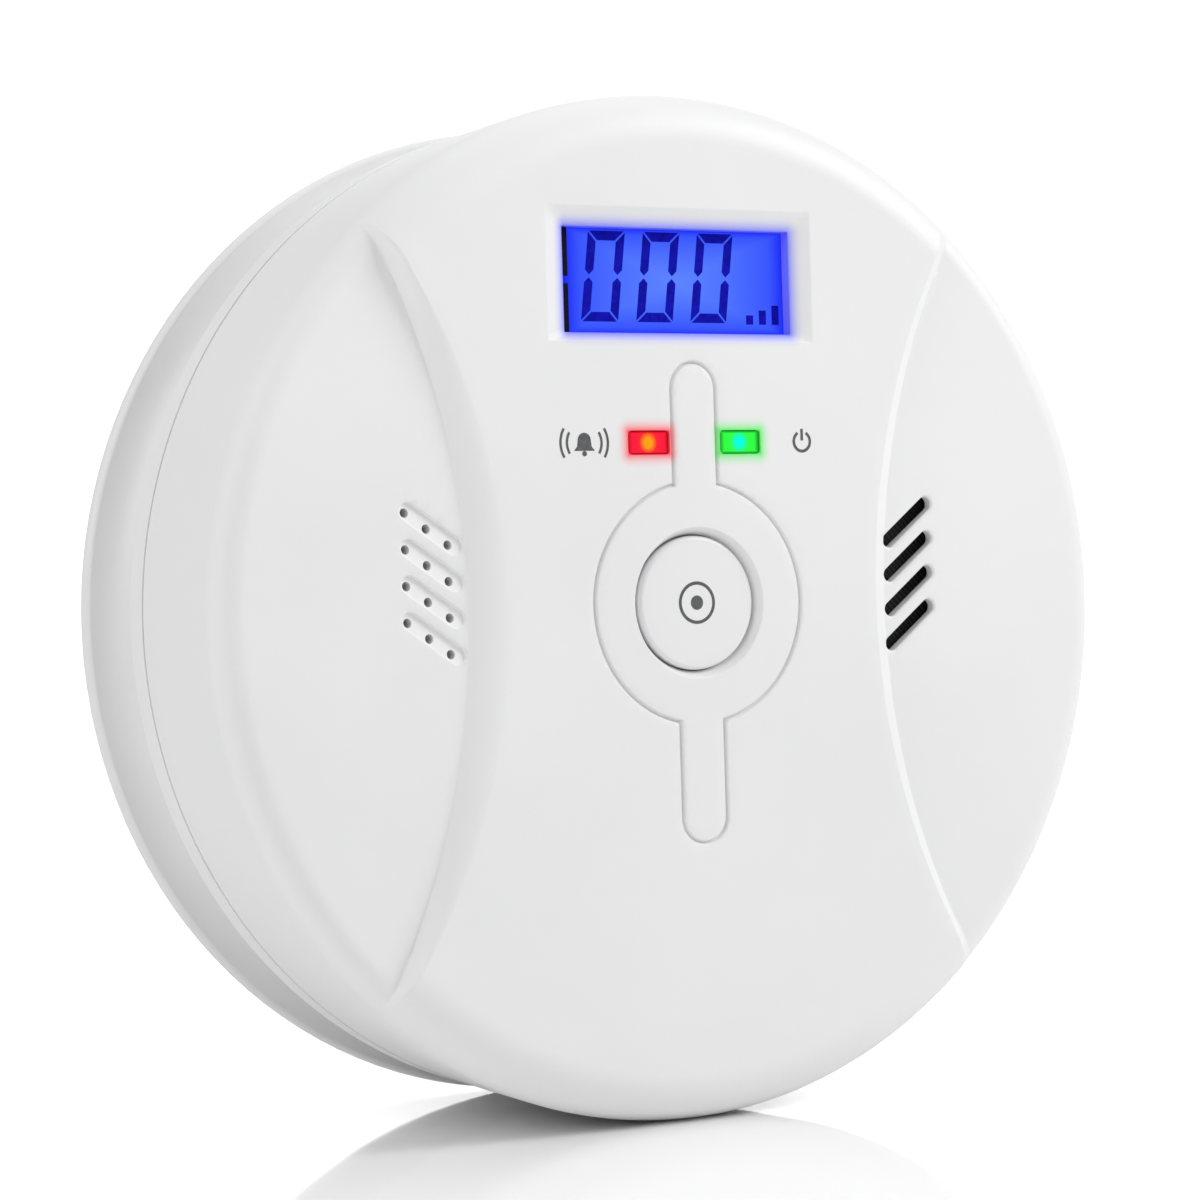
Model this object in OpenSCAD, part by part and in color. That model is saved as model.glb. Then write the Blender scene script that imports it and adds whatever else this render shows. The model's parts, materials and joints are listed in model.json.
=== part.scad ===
// Round battery carbon monoxide detector on a twist-lock wall plate.
// Frame: +Z up, the front faces -Y, and the wall is the plane y = 0.
// Every module is drawn "face up" and turned by facing(): its x is across, its y is up the wall,
// and its z is the distance from the wall to the front, called depth in the names below.

/* [Housing] */
// Radius of the wall plate's rim, the widest part
case_r = 50; // [48:0.5:54]
// Distance from the wall to the flat centre of the front
total_depth = 35; // [35:0.5:40]
// Wall thickness of the front cover
wall_t = 2; // [1.8:0.1:2.2]
// Radius of the rear edge of the alarm's body
body_rear_r = 49.3; // [49:0.1:49.6]
// Radius of the body just behind its front edge
body_front_r = 50; // [49.8:0.1:50]
// Rounding of the front edge at the centre band
edge_r = 5; // [3:0.5:5.5]
// Depth of the line where the front cover meets the rear housing
parting_depth = 14.7; // [14.5:0.1:15]

/* [Front face] */
// Half the width of the centre band at its waist
waist_half = 21.8; // [20:0.2:24]
// Radius of the two arcs that bound the centre band
arc_r = 64; // [58:1:75]
// Drop from the centre band to the side panels at the waist
panel_drop = 1.2; // [0.8:0.1:1.4]
// Rounding of the front edge at the side panels
panel_edge_r = 2.8; // [2.4:0.1:3.2]
// Radius of the engraved ring around the test button
ring_r = 11.7; // [11:0.1:12.5]
// Width of the two engraved stems above and below the ring
stem_w = 5; // [4:0.2:5]
// Reach of the stems from the centre of the button
stem_reach = 23.2; // [21:0.2:24]

/* [Display and lamps] */
// Width of the bevelled recess around the display
recess_w = 30.4; // [29:0.2:31]
// Height of the bevelled recess
recess_h = 13; // [12.4:0.2:13.4]
// Height of the recess's centre above the middle of the face
recess_z = 32.1; // [31.8:0.1:32.2]
// Centre of the display left of the middle of the face
display_shift = 0.9; // [0:0.1:1]
// Distance from the middle of the face to each lamp
lamp_x = 5.2; // [5.1:0.1:5.6]
// Height of the lamps
lamp_z = 15.9; // [15:0.1:16.5]

/* [Test button] */
// Radius of the button's face
button_r = 6.5; // [5.8:0.1:6.6]
// Travel of the button and of the switch plunger
travel = 0.4; // [0.3:0.1:0.5]

/* [Batteries] */
// Radius of one AA cell over its jacket
cell_r = 7.2; // [7:0.05:7.25]
// Length of one AA cell with its nub
cell_len = 50.5; // [49.5:0.1:50.5]

/* [Wall plate] */
// Distance between the two screw slots
slot_spacing = 60; // [56:1:62]
// End-to-end length of a screw slot
slot_len = 8; // [6:0.5:9]
// Width of a screw slot
slot_w = 4.4; // [4:0.1:5]
// Turn that frees the alarm from the plate, in degrees
unlock_turn = 16; // [15:1:17]

/* [Hidden] */
$fn = 96;
cut = 0.1;

// depths, from the wall forward
plate_floor = 2;
plate_depth = 6;
back_depth = 6.4;
back_wall = 1.6;
back_inside = back_depth + back_wall;
flare_depth = 12;
parting_gap = 0.3;
lip_depth = parting_depth - parting_gap / 2;
cover_rear = parting_depth + parting_gap / 2;
bay_floor = 23.2;
bay_top = 24.6;
board_back = 25.4;
board_t = 1.6;
board_front = board_back + board_t;
panel_depth = total_depth - panel_drop;
panel_edge_depth = panel_depth - 0.6;
panel_ceiling = 31.2;
band_ceiling = total_depth - wall_t;

// wall plate
rim_bead = 1;
flare_r = 4;
neck_r = case_r - 4.6;
hook_in = 38.9;
hook_wall = 1.5;
hook_lip = 1.6;
hook_arc = 15;
hook_lip_t = 1.15;
hook_angles = [0, 90, 180, 270];
hook_side_gap = 0.6;
hook_radial_gap = 0.4;
axial_gap = 0.15;
hook_top = back_inside + axial_gap + hook_lip_t;
plate_rib_r = 20;
plate_rib_t = 1.2;
plate_rib_h = 1.6;

// rear housing and front cover
spigot_in = 46.3;
spigot_out = 47.5;
spigot_rear = 10.3;
spigot_front = 17;
cavity_rear_r = 47.6;
cavity_front_r = 47.9;
cavity_chamfer = 1.6;
cavity_roof_r = 46.4;
band_pocket_r = 45.6;
band_pocket_inset = 2.2;
chamber_r = 12;
chamber_wall = 1.1;
frame_wall = 0.9;
frame_rear = 29;
root = 0.4;

// battery bay, cells side by side with their axes up the wall
cell_pitch = 15.1;
bay_half_w = 22.7;
bay_half_h = 27.7;
bay_wall = 1.5;
plate_t = 0.4;
plate_half_w = 5.5;
plate_rear = 9.5;
plate_front = 21.5;
tab_half_w = 1.5;
nub_r = 2.75;
nub_len = 1.3;
foot_r = 6;
foot_t = 0.3;
spring_r = 3.8;
spring_wire_r = 0.35;
spring_rings = 7;
cell_depth = 15.6;
CELLS = [[-cell_pitch, 1], [0, -1], [cell_pitch, 1]];
spring_len = 2 * (bay_half_h - plate_t) - cell_len;

// screws
CASE_SCREWS = [for (sx = [-1, 1], sy = [-1, 1]) [sx * 31, sy * 25.5]];
BOARD_SCREWS = [for (sx = [-1, 1]) each [[sx * 20.5, 33], [sx * 20.5, -34]]];
case_boss_r = 3.2;
case_well_r = 3.3;
case_well_wall = 1.1;
case_hole_r = 1.55;
case_pilot_r = 1.3;
case_pilot_len = 13;
case_seat = 9.6;
case_boss_rear = 11.3;
board_boss_r = 2.4;
board_hole_r = 1.2;
board_pilot_r = 1.05;
board_pilot_len = 4.5;

// front details
button_z = 0.4;
button_gap = 0.35;
button_face = total_depth - 0.55;
button_edge = 0.4;
button_rear = 31.7;
flange_r = 7.6;
flange_t = 1;
dish_r = 7.7;
dish_depth = 0.85;
bevel_depth = 0.8;
window_w = 25.7;
window_h = 10.1;
window_z = 31.5;
groove_w = 0.4;
groove_depth = 0.35;
lamp_w = 4.6;
lamp_h = 2.2;
lamp_gap = 0.1;
lamp_rear = 30;
lamp_front = total_depth - 0.2;
rows = 4;
speaker_start = [-31, 9.6];
speaker_end = [-26.6, 6.55];
speaker_pitch = 3.4;
speaker_slot_r = 0.95;
speaker_slot_depth = 0.7;
speaker_lift = 0.25;
speaker_inset = 0.4;
speaker_overrun = 0.55;
vent_start = [23.5, 6];
vent_end = [28.1, 9.55];
vent_pitch = 3.45;
vent_r = 0.75;
end_fuller = 1.03;
hole_r = 0.45;

// inner pieces
board_r = 44;
sounder_at = [-28.8, 3];
sounder_r = 11.8;
sounder_t = 0.3;
sounder_depth = 28;
ceramic_r = 8;
sounder_lead_r = 0.4;
sensor_at = [33.5, 2];
sensor_r = 8;
sensor_rear = 18.4;
sensor_front = 29.6;
sensor_cap_r = 6.8;
sensor_port_r = 1.2;
tab_reach = 12.5;
tab_t = 0.3;
screen_from = [21.8, -6.6];
screen_to = [31.2, 12.2];
screen_t = 0.5;
glass_from = [-15.6, 24.2];
glass_to = [14, 38.4];
glass_rear = 30.9;
light_from = [-14.6, 26.3];
light_to = [13, 37.8];
display_pins = 10;
switch_w = 6;
switch_top = 30.4;
switch_well = 28.2;
plunger_r = 1.75;
plunger_rear = 28.9;
plunger_top = 31.4;
press_r = 1.6;
lead_w = 0.5;
chip_at = [0, -17];
chip_w = 18;
chip_h = 7.5;
chip_rows = 13;
pin_pitch = 1.27;
capacitor_at = [-33, -9];
capacitor_r = 4;
capacitor_len = 11.5;
coil_at = [-33.5, 8];
coil_r = 4.5;
coil_len = 9;
coil_flange = 1.2;
coil_post_r = 2;
RESISTORS = [for (s = [-1, 1]) each [[s * 14, -14], [s * 14, -17], [s * 14, -20], [s * 8, -27], [s * 4, -27],
    [s * 12, 8]]];

// ---------- helpers ----------

module facing() rotate([90, 0, 0]) children();

module tube(r_out, r_in, h) difference() {
    cylinder(r = r_out, h = h);
    translate([0, 0, -cut]) cylinder(r = r_in, h = h + 2 * cut);
}

// box from two opposite corners
module span(a, b) translate(a) cube(b - a);

// flat bar with round ends between two points; fuller ends meet its sides at an angle, not tangent
module bar_2d(a, b, r, fuller = 1) {
    run = b - a;
    translate(a) rotate(atan2(run[1], run[0])) translate([0, -r]) square([norm(run), 2 * r]);
    translate(a) circle(fuller * r);
    translate(b) circle(fuller * r);
}

module at_depth(d, h) translate([0, 0, d]) linear_extrude(h) children();

// the front cover's outer side and front, as a half section
module cover_section(front, centre, edge) {
    polygon([[0, cover_rear], [body_rear_r + 0.1, cover_rear], [body_front_r, front - edge],
        [body_front_r - edge, front], [waist_half, centre], [0, centre]]);
    translate([body_front_r - edge, front - edge]) circle(edge);
}

// the centre band between its two arcs, narrowed all round by inset
module band_2d(inset) difference() {
    square(2.4 * case_r, center = true);
    for (s = [-1, 1]) translate([s * (waist_half + arc_r), button_z]) circle(arc_r + inset, $fn = 180);
}

// a ring with a stem above and below, its outline moved out by grow
module keyhole_2d(grow) {
    half = stem_w / 2;
    circle(ring_r + grow);
    bar_2d([0, half - stem_reach], [0, stem_reach - half], half + grow);
}

// the recess around the display: two crossed wedges make its four sloping sides
module bevel() {
    x0 = -display_shift;
    intersection() {
        translate([0, recess_z + recess_h, 0]) rotate([90, 0, 0]) linear_extrude(2 * recess_h)
            polygon([[x0 - window_w / 2, total_depth - bevel_depth],
                [x0 + window_w / 2, total_depth - bevel_depth], [x0 + recess_w / 2, total_depth],
                [x0 + recess_w / 2, total_depth + 1],
                [x0 - recess_w / 2, total_depth + 1], [x0 - recess_w / 2, total_depth]]);
        translate([-recess_w, 0, 0]) rotate([90, 0, 90]) linear_extrude(2 * recess_w)
            polygon([[window_z - window_h / 2, total_depth - bevel_depth],
                [window_z + window_h / 2, total_depth - bevel_depth],
                [recess_z + recess_h / 2, total_depth], [recess_z + recess_h / 2, total_depth + 1],
                [recess_z - recess_h / 2, total_depth + 1], [recess_z - recess_h / 2, total_depth]]);
    }
}

// the sloping line of one row of speaker holes, moved along the row and across it
function row_point(p, along, across) = let (run = speaker_end - speaker_start, dir = run / norm(run))
    p + along * dir + across * [-dir[1], dir[0]];

// part of a ring between two angles
module arc_wall(from, angle, r_in, r_out, low, high) rotate(from) rotate_extrude(angle = angle)
    translate([r_in, low]) square([r_out - r_in, high - low]);

// ---------- wall plate ----------

module mounting_plate() color("whitesmoke") facing() difference() {
    union() {
        rotate_extrude($fn = 180) {
            difference() {
                polygon([[0, 0], [case_r - rim_bead, 0], [case_r, rim_bead],
                    [case_r - rim_bead, 2 * rim_bead], [neck_r + flare_r, plate_floor],
                    [neck_r + flare_r, plate_depth], [0, plate_depth]]);
                translate([neck_r + flare_r, plate_depth]) circle(flare_r);
                translate([-cut, plate_floor]) square([neck_r - wall_t + cut, plate_depth]);
            }
            translate([case_r - rim_bead, rim_bead]) circle(rim_bead);
        }
        for (a = hook_angles) {
            arc_wall(a - hook_arc / 2, hook_arc, hook_in, hook_in + hook_wall, plate_floor - cut, hook_top);
            arc_wall(a - hook_arc / 2, hook_arc, hook_in + hook_wall - cut, hook_in + hook_wall + hook_lip,
                back_inside + axial_gap, hook_top);
        }
        translate([0, 0, plate_floor - cut]) tube(plate_rib_r + plate_rib_t, plate_rib_r, plate_rib_h + cut);
    }
    for (s = [-1, 1]) at_depth(-1, plate_floor + 2)
        bar_2d([s * slot_spacing / 2 - (slot_len - slot_w) / 2, 0],
            [s * slot_spacing / 2 + (slot_len - slot_w) / 2, 0], slot_w / 2);
}

// ---------- rear housing ----------

module rear_housing() color("whitesmoke") facing() difference() {
    union() {
        rotate_extrude($fn = 180) polygon([[0, back_depth], [neck_r, back_depth], [body_rear_r, flare_depth],
            [body_rear_r + 0.1, lip_depth], [body_rear_r - back_wall, lip_depth],
            [body_rear_r - back_wall, flare_depth], [neck_r - 0.6, back_inside], [0, back_inside]]);
        // spigot that centres the front cover
        translate([0, 0, spigot_rear]) tube(spigot_out, spigot_in, spigot_front - spigot_rear);
        span([-bay_half_w - bay_wall, -bay_half_h - bay_wall, back_depth],
            [bay_half_w + bay_wall, bay_half_h + bay_wall, bay_top]);
        for (p = CASE_SCREWS) translate([p[0], p[1], back_depth])
            cylinder(r = case_well_r + case_well_wall, h = case_boss_rear - back_depth);
    }
    span([-bay_half_w, -bay_half_h, back_depth - 1], [bay_half_w, bay_half_h, bay_floor]);
    // way through the bay's floor for the two end contacts' tabs
    for (s = [-1, 1]) translate([-s * cell_pitch, s * (bay_half_h - plate_t / 2), (bay_floor + bay_top) / 2])
        cube([2 * tab_half_w + plate_t, 2 * plate_t, 4], center = true);
    for (p = CASE_SCREWS) translate([p[0], p[1], 0]) {
        translate([0, 0, back_depth - 1]) cylinder(r = case_well_r, h = case_seat - back_depth + 1);
        translate([0, 0, case_seat - cut]) cylinder(r = case_hole_r, h = case_boss_rear - case_seat + 1);
    }
    // bayonet openings: a wide entry, then a narrow stretch where the hook's neck runs
    for (a = hook_angles) {
        arc_wall(a - unlock_turn - hook_arc / 2 - hook_side_gap, hook_arc + 2 * hook_side_gap,
            hook_in - hook_radial_gap, hook_in + hook_wall + hook_lip + hook_radial_gap,
            back_depth - 1, back_inside + 1);
        arc_wall(a - unlock_turn + hook_arc / 2, unlock_turn + hook_side_gap,
            hook_in - hook_radial_gap, hook_in + hook_wall + hook_radial_gap,
            back_depth - 1, back_inside + 1);
    }
}

// ---------- front cover ----------

module cover_shell() {
    difference() {
        union() {
            intersection() {
                rotate_extrude($fn = 180) cover_section(total_depth, total_depth, edge_r);
                at_depth(0, total_depth + 1) band_2d(0);
            }
            rotate_extrude($fn = 180) cover_section(panel_edge_depth, panel_depth, panel_edge_r);
        }
        rotate_extrude($fn = 180) polygon([[0, cover_rear - 1], [cavity_rear_r, cover_rear - 1],
            [cavity_front_r, panel_ceiling - cavity_chamfer], [cavity_roof_r, panel_ceiling],
            [0, panel_ceiling]]);
        intersection() {
            translate([0, 0, panel_ceiling - cut])
                cylinder(r = band_pocket_r, h = band_ceiling - panel_ceiling + cut, $fn = 180);
            at_depth(0, total_depth) band_2d(band_pocket_inset);
        }
    }
    // posts for the case screws and the board screws
    for (p = CASE_SCREWS) translate([p[0], p[1], case_boss_rear])
        cylinder(r = case_boss_r, h = panel_ceiling + root - case_boss_rear);
    for (p = BOARD_SCREWS) translate([p[0], p[1], board_front])
        cylinder(r = board_boss_r, h = band_ceiling + root - board_front);
    // sounder's resonance chamber
    translate([sounder_at[0], sounder_at[1], sounder_depth + sounder_t])
        tube(chamber_r, chamber_r - chamber_wall, band_ceiling - sounder_depth);
    // walls that hold the display
    difference() {
        span([each (glass_from - [1, 1] * (cut + frame_wall)), frame_rear],
            [each (glass_to + [1, 1] * (cut + frame_wall)), band_ceiling + root]);
        span([each (glass_from - [1, 1] * cut), frame_rear - 1],
            [each (glass_to + [1, 1] * cut), band_ceiling + 1]);
    }
}

module front_cover() color("white") facing() difference() {
    cover_shell();
    bevel();
    span([-display_shift - window_w / 2, window_z - window_h / 2, band_ceiling - 1],
        [-display_shift + window_w / 2, window_z + window_h / 2, total_depth]);
    for (s = [-1, 1]) translate([s * lamp_x, lamp_z, total_depth])
        cube([lamp_w + 2 * lamp_gap, lamp_h + 2 * lamp_gap, 10], center = true);
    translate([0, button_z, total_depth - 5]) cylinder(r = button_r + button_gap, h = 6);
    translate([0, button_z, total_depth - dish_depth])
        cylinder(r1 = button_r + button_gap, r2 = dish_r, h = dish_depth);
    translate([0, button_z, 0]) at_depth(total_depth - groove_depth, 1) difference() {
        keyhole_2d(groove_w / 2);
        keyhole_2d(-groove_w / 2);
    }
    for (i = [0:rows - 1]) {
        drop = [0, -i * speaker_pitch];
        at_depth(panel_depth - speaker_slot_depth, 3)
            bar_2d(row_point(speaker_start + drop, speaker_inset, speaker_lift),
                row_point(speaker_end + drop, speaker_overrun, speaker_lift), speaker_slot_r, end_fuller);
        for (k = [0, 0.5, 1]) translate(speaker_start + drop + k * (speaker_end - speaker_start))
            translate([0, 0, panel_ceiling - 1]) cylinder(r = hole_r, h = 5, $fn = 24);
        at_depth(panel_ceiling - 1, 5)
            bar_2d(vent_start - [0, i * vent_pitch], vent_end - [0, i * vent_pitch], vent_r, end_fuller);
    }
    for (p = CASE_SCREWS) translate([p[0], p[1], case_boss_rear - 1])
        cylinder(r = case_pilot_r, h = case_pilot_len + 1);
    for (p = BOARD_SCREWS) translate([p[0], p[1], board_front - 1])
        cylinder(r = board_pilot_r, h = board_pilot_len + 1);
}

// ---------- screws ----------

// pan-head screw whose head lies behind z = 0 and whose shank runs forward
module screw(head_r, head_h, shank_r, len) difference() {
    union() {
        translate([0, 0, -head_h]) cylinder(r = head_r, h = head_h);
        translate([0, 0, -cut]) cylinder(r = shank_r, h = len + cut, $fn = 48);
    }
    for (a = [0, 90]) rotate(a) translate([0, 0, -head_h]) cube([head_r * 1.1, 0.6, head_h], center = true);
}

module case_screws() color("silver") facing()
    for (p = CASE_SCREWS) translate([p[0], p[1], case_seat]) screw(2.8, 1.9, 1.25, 12);

module board_screws() color("silver") facing()
    for (p = BOARD_SCREWS) translate([p[0], p[1], board_back]) screw(2.1, 1.3, 1, 5.4);

// ---------- circuit board ----------

module circuit_board() color("darkgreen") facing() difference() {
    translate([0, 0, board_back]) cylinder(r = board_r, h = board_t, $fn = 180);
    for (p = CASE_SCREWS) translate([p[0], p[1], board_back - 1]) cylinder(r = case_boss_r + 0.4, h = 4);
    for (p = BOARD_SCREWS) translate([p[0], p[1], board_back - 1]) cylinder(r = board_hole_r, h = 4);
    translate([sensor_at[0], sensor_at[1], board_back - 1]) cylinder(r = sensor_r + 0.25, h = 4);
}

module controller_chip() color("dimgray") facing()
translate([chip_at[0], chip_at[1], board_front]) difference() {
    translate([-chip_w / 2, -chip_h / 2, 0.1]) cube([chip_w, chip_h, 2.2]);
    translate([-chip_w / 2, 0, 1.9]) cylinder(r = 0.9, h = 1);
}

module chip_pins() color("silver") facing() translate([chip_at[0], chip_at[1], board_front])
    for (i = [0:chip_rows - 1], turn = [0, 180])
        rotate(turn) translate([(i - (chip_rows - 1) / 2) * pin_pitch - 0.2, chip_h / 2, 0]) {
            cube([0.4, 1.4, 0.25]);
            translate([0, 0, 0.2]) cube([0.4, 0.5, 1]);
        }

module chip_resistors() color("black") facing()
    for (p = RESISTORS) translate([p[0] - 1, p[1] - 0.6, board_front]) cube([2, 1.25, 0.6]);

module storage_capacitor() color("midnightblue") facing()
    translate([capacitor_at[0], capacitor_at[1], board_back - capacitor_len]) difference() {
        cylinder(r = capacitor_r, h = capacitor_len);
        translate([0, 0, capacitor_len - 1.9]) tube(capacitor_r + 1, capacitor_r - 0.3, 0.5);
    }

module boost_coil_core() color("dimgray") facing()
translate([coil_at[0], coil_at[1], board_back - coil_len]) {
    cylinder(r = coil_r, h = coil_flange);
    cylinder(r = coil_post_r, h = coil_len);
    translate([0, 0, coil_len - coil_flange]) cylinder(r = coil_r, h = coil_flange);
}

module boost_coil_winding() color("peru") facing()
    translate([coil_at[0], coil_at[1], board_back - coil_len + coil_flange + 0.05])
        tube(coil_r - 0.5, coil_post_r + 0.05, coil_len - 2 * coil_flange - 0.1);

// ---------- test button and its switch ----------

module test_button() color("white") facing() translate([0, button_z, 0]) {
    rotate_extrude() polygon([[0, button_rear], [flange_r, button_rear], [flange_r, button_rear + flange_t],
        [button_r, button_rear + flange_t], [button_r, button_face - button_edge],
        [button_r - button_edge, button_face], [0, button_face]]);
    translate([0, 0, plunger_top + 0.05]) cylinder(r = press_r, h = 1);
}

module switch_body() color("dimgray") facing() translate([0, button_z, 0]) difference() {
    translate([-switch_w / 2, -switch_w / 2, board_front]) cube([switch_w, switch_w, switch_top - board_front]);
    translate([0, 0, switch_well]) cylinder(r = plunger_r + 0.05, h = 4);
}

module switch_plunger() color("black") facing() translate([0, button_z, plunger_rear])
    cylinder(r = plunger_r, h = plunger_top - plunger_rear);

module switch_legs() color("silver") facing() for (sx = [-1, 1], sy = [-1, 1])
    translate([sx * (switch_w / 2 + 0.15), button_z + sy * 2.2, board_front + 0.7])
        cube([0.3, 0.7, 1.4], center = true);

// ---------- display ----------

module lcd_glass() color("royalblue") facing()
    span([each glass_from, glass_rear], [each glass_to, band_ceiling]);

module lcd_backlight() color("lightsteelblue") facing()
    span([each light_from, board_front], [each light_to, glass_rear]);

module lcd_pins() color("silver") facing()
    for (i = [0:display_pins - 1])
        translate([glass_from[0] + 5.5 + 2 * i, glass_from[1] + 0.7, board_front])
            cube([lead_w, lead_w, glass_rear - board_front]);

// ---------- lamps ----------

module lamp(side) translate([side * lamp_x - lamp_w / 2, lamp_z - lamp_h / 2, lamp_rear])
    cube([lamp_w, lamp_h, lamp_front - lamp_rear]);

module alarm_lamp() color("red") facing() lamp(-1);

module power_lamp() color("limegreen") facing() lamp(1);

module lamp_leads() color("silver") facing() for (s = [-1, 1], k = [-1, 1])
    translate([s * lamp_x + k * pin_pitch - lead_w / 2, lamp_z - lead_w / 2, board_front])
        cube([lead_w, lead_w, lamp_rear - board_front]);

// ---------- carbon monoxide sensor ----------

module sensor_can() color("gainsboro") facing() translate([sensor_at[0], sensor_at[1], sensor_rear])
    cylinder(r = sensor_r, h = sensor_front - sensor_rear);

module sensor_cap() color("silver") facing() translate([sensor_at[0], sensor_at[1], sensor_front])
    tube(sensor_cap_r, sensor_port_r, 0.5);

module sensor_tabs() color("silver") facing()
translate([sensor_at[0], sensor_at[1], board_front]) difference() {
    for (turn = [90, 180]) rotate(-turn) translate([0, -1, 0]) cube([tab_reach, 2, tab_t]);
    translate([0, 0, -1]) cylinder(r = sensor_r, h = 3);
}

module vent_screen() color("black") facing()
    span([each screen_from, panel_ceiling - screen_t], [each screen_to, panel_ceiling]);

// ---------- sounder ----------

module sounder_disc() color("goldenrod") facing() translate([sounder_at[0], sounder_at[1], sounder_depth])
    cylinder(r = sounder_r, h = sounder_t);

module sounder_ceramic() color("ivory") facing()
    translate([sounder_at[0], sounder_at[1], sounder_depth - sounder_t]) cylinder(r = ceramic_r, h = sounder_t);

// one lead to the ceramic and one to the brass disc around it
module sounder_leads() color("crimson") facing() translate([sounder_at[0], sounder_at[1], board_front]) {
    translate([-ceramic_r / 2, 0, 0])
        cylinder(r = sounder_lead_r, h = sounder_depth - sounder_t - board_front, $fn = 24);
    translate([(ceramic_r + sounder_r) / 2, 0, 0])
        cylinder(r = sounder_lead_r, h = sounder_depth - board_front, $fn = 24);
}

// ---------- batteries and their contacts ----------

// stands children along the wall at a cell's foot; way is 1 where the nub points up
module along_cell(c) translate([c[0], -c[1] * (bay_half_h - plate_t), cell_depth])
    rotate([-90 * c[1], 0, 0]) children();

module battery_jackets() color("darkorange") facing() for (c = CELLS) along_cell(c)
    translate([0, 0, spring_len + foot_t]) cylinder(r = cell_r, h = cell_len - foot_t - nub_len);

module battery_terminals() color("gainsboro") facing() for (c = CELLS) along_cell(c) {
    translate([0, 0, spring_len]) cylinder(r = foot_r, h = foot_t);
    translate([0, 0, spring_len + cell_len - nub_len]) cylinder(r = nub_r, h = nub_len);
}

module battery_springs() color("silver") facing() for (c = CELLS) along_cell(c) for (i = [0:spring_rings - 1])
    translate([0, 0, spring_wire_r + i * (spring_len - 2 * spring_wire_r) / (spring_rings - 1)])
        rotate_extrude($fn = 48) translate([spring_r, 0]) circle(spring_wire_r, $fn = 16);

// at each end, one plate with a tab to the board and one that joins two cells
module contact_plates() color("silver") facing() for (s = [-1, 1]) {
    z0 = s > 0 ? bay_half_h - plate_t : -bay_half_h;
    translate([-s * cell_pitch, z0, 0]) {
        span([-plate_half_w, 0, plate_rear], [plate_half_w, plate_t, plate_front]);
        span([-tab_half_w, 0, plate_front - cut], [tab_half_w, plate_t, board_back]);
    }
    translate([s * cell_pitch / 2, z0, 0])
        span([-cell_pitch / 2 - plate_half_w, 0, plate_rear],
            [cell_pitch / 2 + plate_half_w, plate_t, plate_front]);
}

mounting_plate();
rear_housing();
front_cover();
case_screws();
board_screws();
circuit_board();
test_button();
switch_body();
switch_plunger();
switch_legs();
lcd_glass();
lcd_backlight();
lcd_pins();
alarm_lamp();
power_lamp();
lamp_leads();
sensor_can();
sensor_cap();
sensor_tabs();
sounder_disc();
sounder_ceramic();
sounder_leads();
vent_screen();
battery_jackets();
battery_terminals();
battery_springs();
contact_plates();
controller_chip();
chip_pins();
chip_resistors();
storage_capacitor();
boost_coil_core();
boost_coil_winding();
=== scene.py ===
# %% [markdown]
# # A round carbon monoxide alarm, built from surfaces
# The alarm stands on its rim: a white moulded case with a display, two lamps, a test button, sounder
# holes and gas vents, on a wall plate. The engineering model is loaded first and never changed. The pieces
# that the eye reads closely get finer surfaces, and every other piece gets its own finish.

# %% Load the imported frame
import json
import math

import bpy
import numpy as np
from mathutils import Matrix, Vector
from mathutils.geometry import delaunay_2d_cdt


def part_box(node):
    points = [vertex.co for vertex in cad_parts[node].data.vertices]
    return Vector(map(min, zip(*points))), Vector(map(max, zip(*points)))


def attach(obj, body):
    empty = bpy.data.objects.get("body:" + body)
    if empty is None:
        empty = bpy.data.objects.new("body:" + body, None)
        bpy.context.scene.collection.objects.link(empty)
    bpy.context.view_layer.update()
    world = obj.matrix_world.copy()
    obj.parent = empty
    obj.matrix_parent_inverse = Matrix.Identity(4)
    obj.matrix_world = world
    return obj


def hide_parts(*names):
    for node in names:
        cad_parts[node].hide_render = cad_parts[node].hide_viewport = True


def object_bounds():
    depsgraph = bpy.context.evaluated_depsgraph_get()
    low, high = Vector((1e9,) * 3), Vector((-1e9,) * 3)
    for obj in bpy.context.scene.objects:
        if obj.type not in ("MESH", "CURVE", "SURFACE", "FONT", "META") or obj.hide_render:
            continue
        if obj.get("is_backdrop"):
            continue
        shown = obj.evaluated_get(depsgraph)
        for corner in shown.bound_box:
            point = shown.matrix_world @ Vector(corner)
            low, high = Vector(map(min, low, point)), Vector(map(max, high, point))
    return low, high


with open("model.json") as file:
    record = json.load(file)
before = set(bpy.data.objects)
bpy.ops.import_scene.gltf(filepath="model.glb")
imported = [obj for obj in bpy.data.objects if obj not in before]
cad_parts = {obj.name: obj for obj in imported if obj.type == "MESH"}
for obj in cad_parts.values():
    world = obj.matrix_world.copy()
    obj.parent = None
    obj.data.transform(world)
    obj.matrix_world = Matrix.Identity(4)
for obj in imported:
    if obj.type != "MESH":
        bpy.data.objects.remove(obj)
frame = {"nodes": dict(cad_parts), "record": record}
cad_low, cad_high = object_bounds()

MM = 0.001
print("case", [round(v / MM, 2) for v in cad_high - cad_low], "mm")

# %% [markdown]
# ## Working face up
# It is easiest to think of the case lying on a bench, face up: `across` runs to the right, `up` runs to the
# top of the case, and `depth` is the distance from the wall. A shape is three arrays: points, triangles,
# and a patch number for each triangle. Shading is smooth inside a patch and crisp where two patches meet,
# which is how a moulding with sharp arrises and soft blends looks.

# %% Shapes and shading


def joined(*shapes):
    """Several shapes as one: their points, triangles and patch numbers follow each other."""
    points, triangles, patches = [], [], []
    first_point, first_patch = 0, 0
    for p, t, k in shapes:
        points.append(p)
        triangles.append(t + first_point)
        patches.append(k + first_patch)
        first_point += len(p)
        first_patch += k.max() + 1
    return np.concatenate(points), np.concatenate(triangles), np.concatenate(patches)


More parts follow.
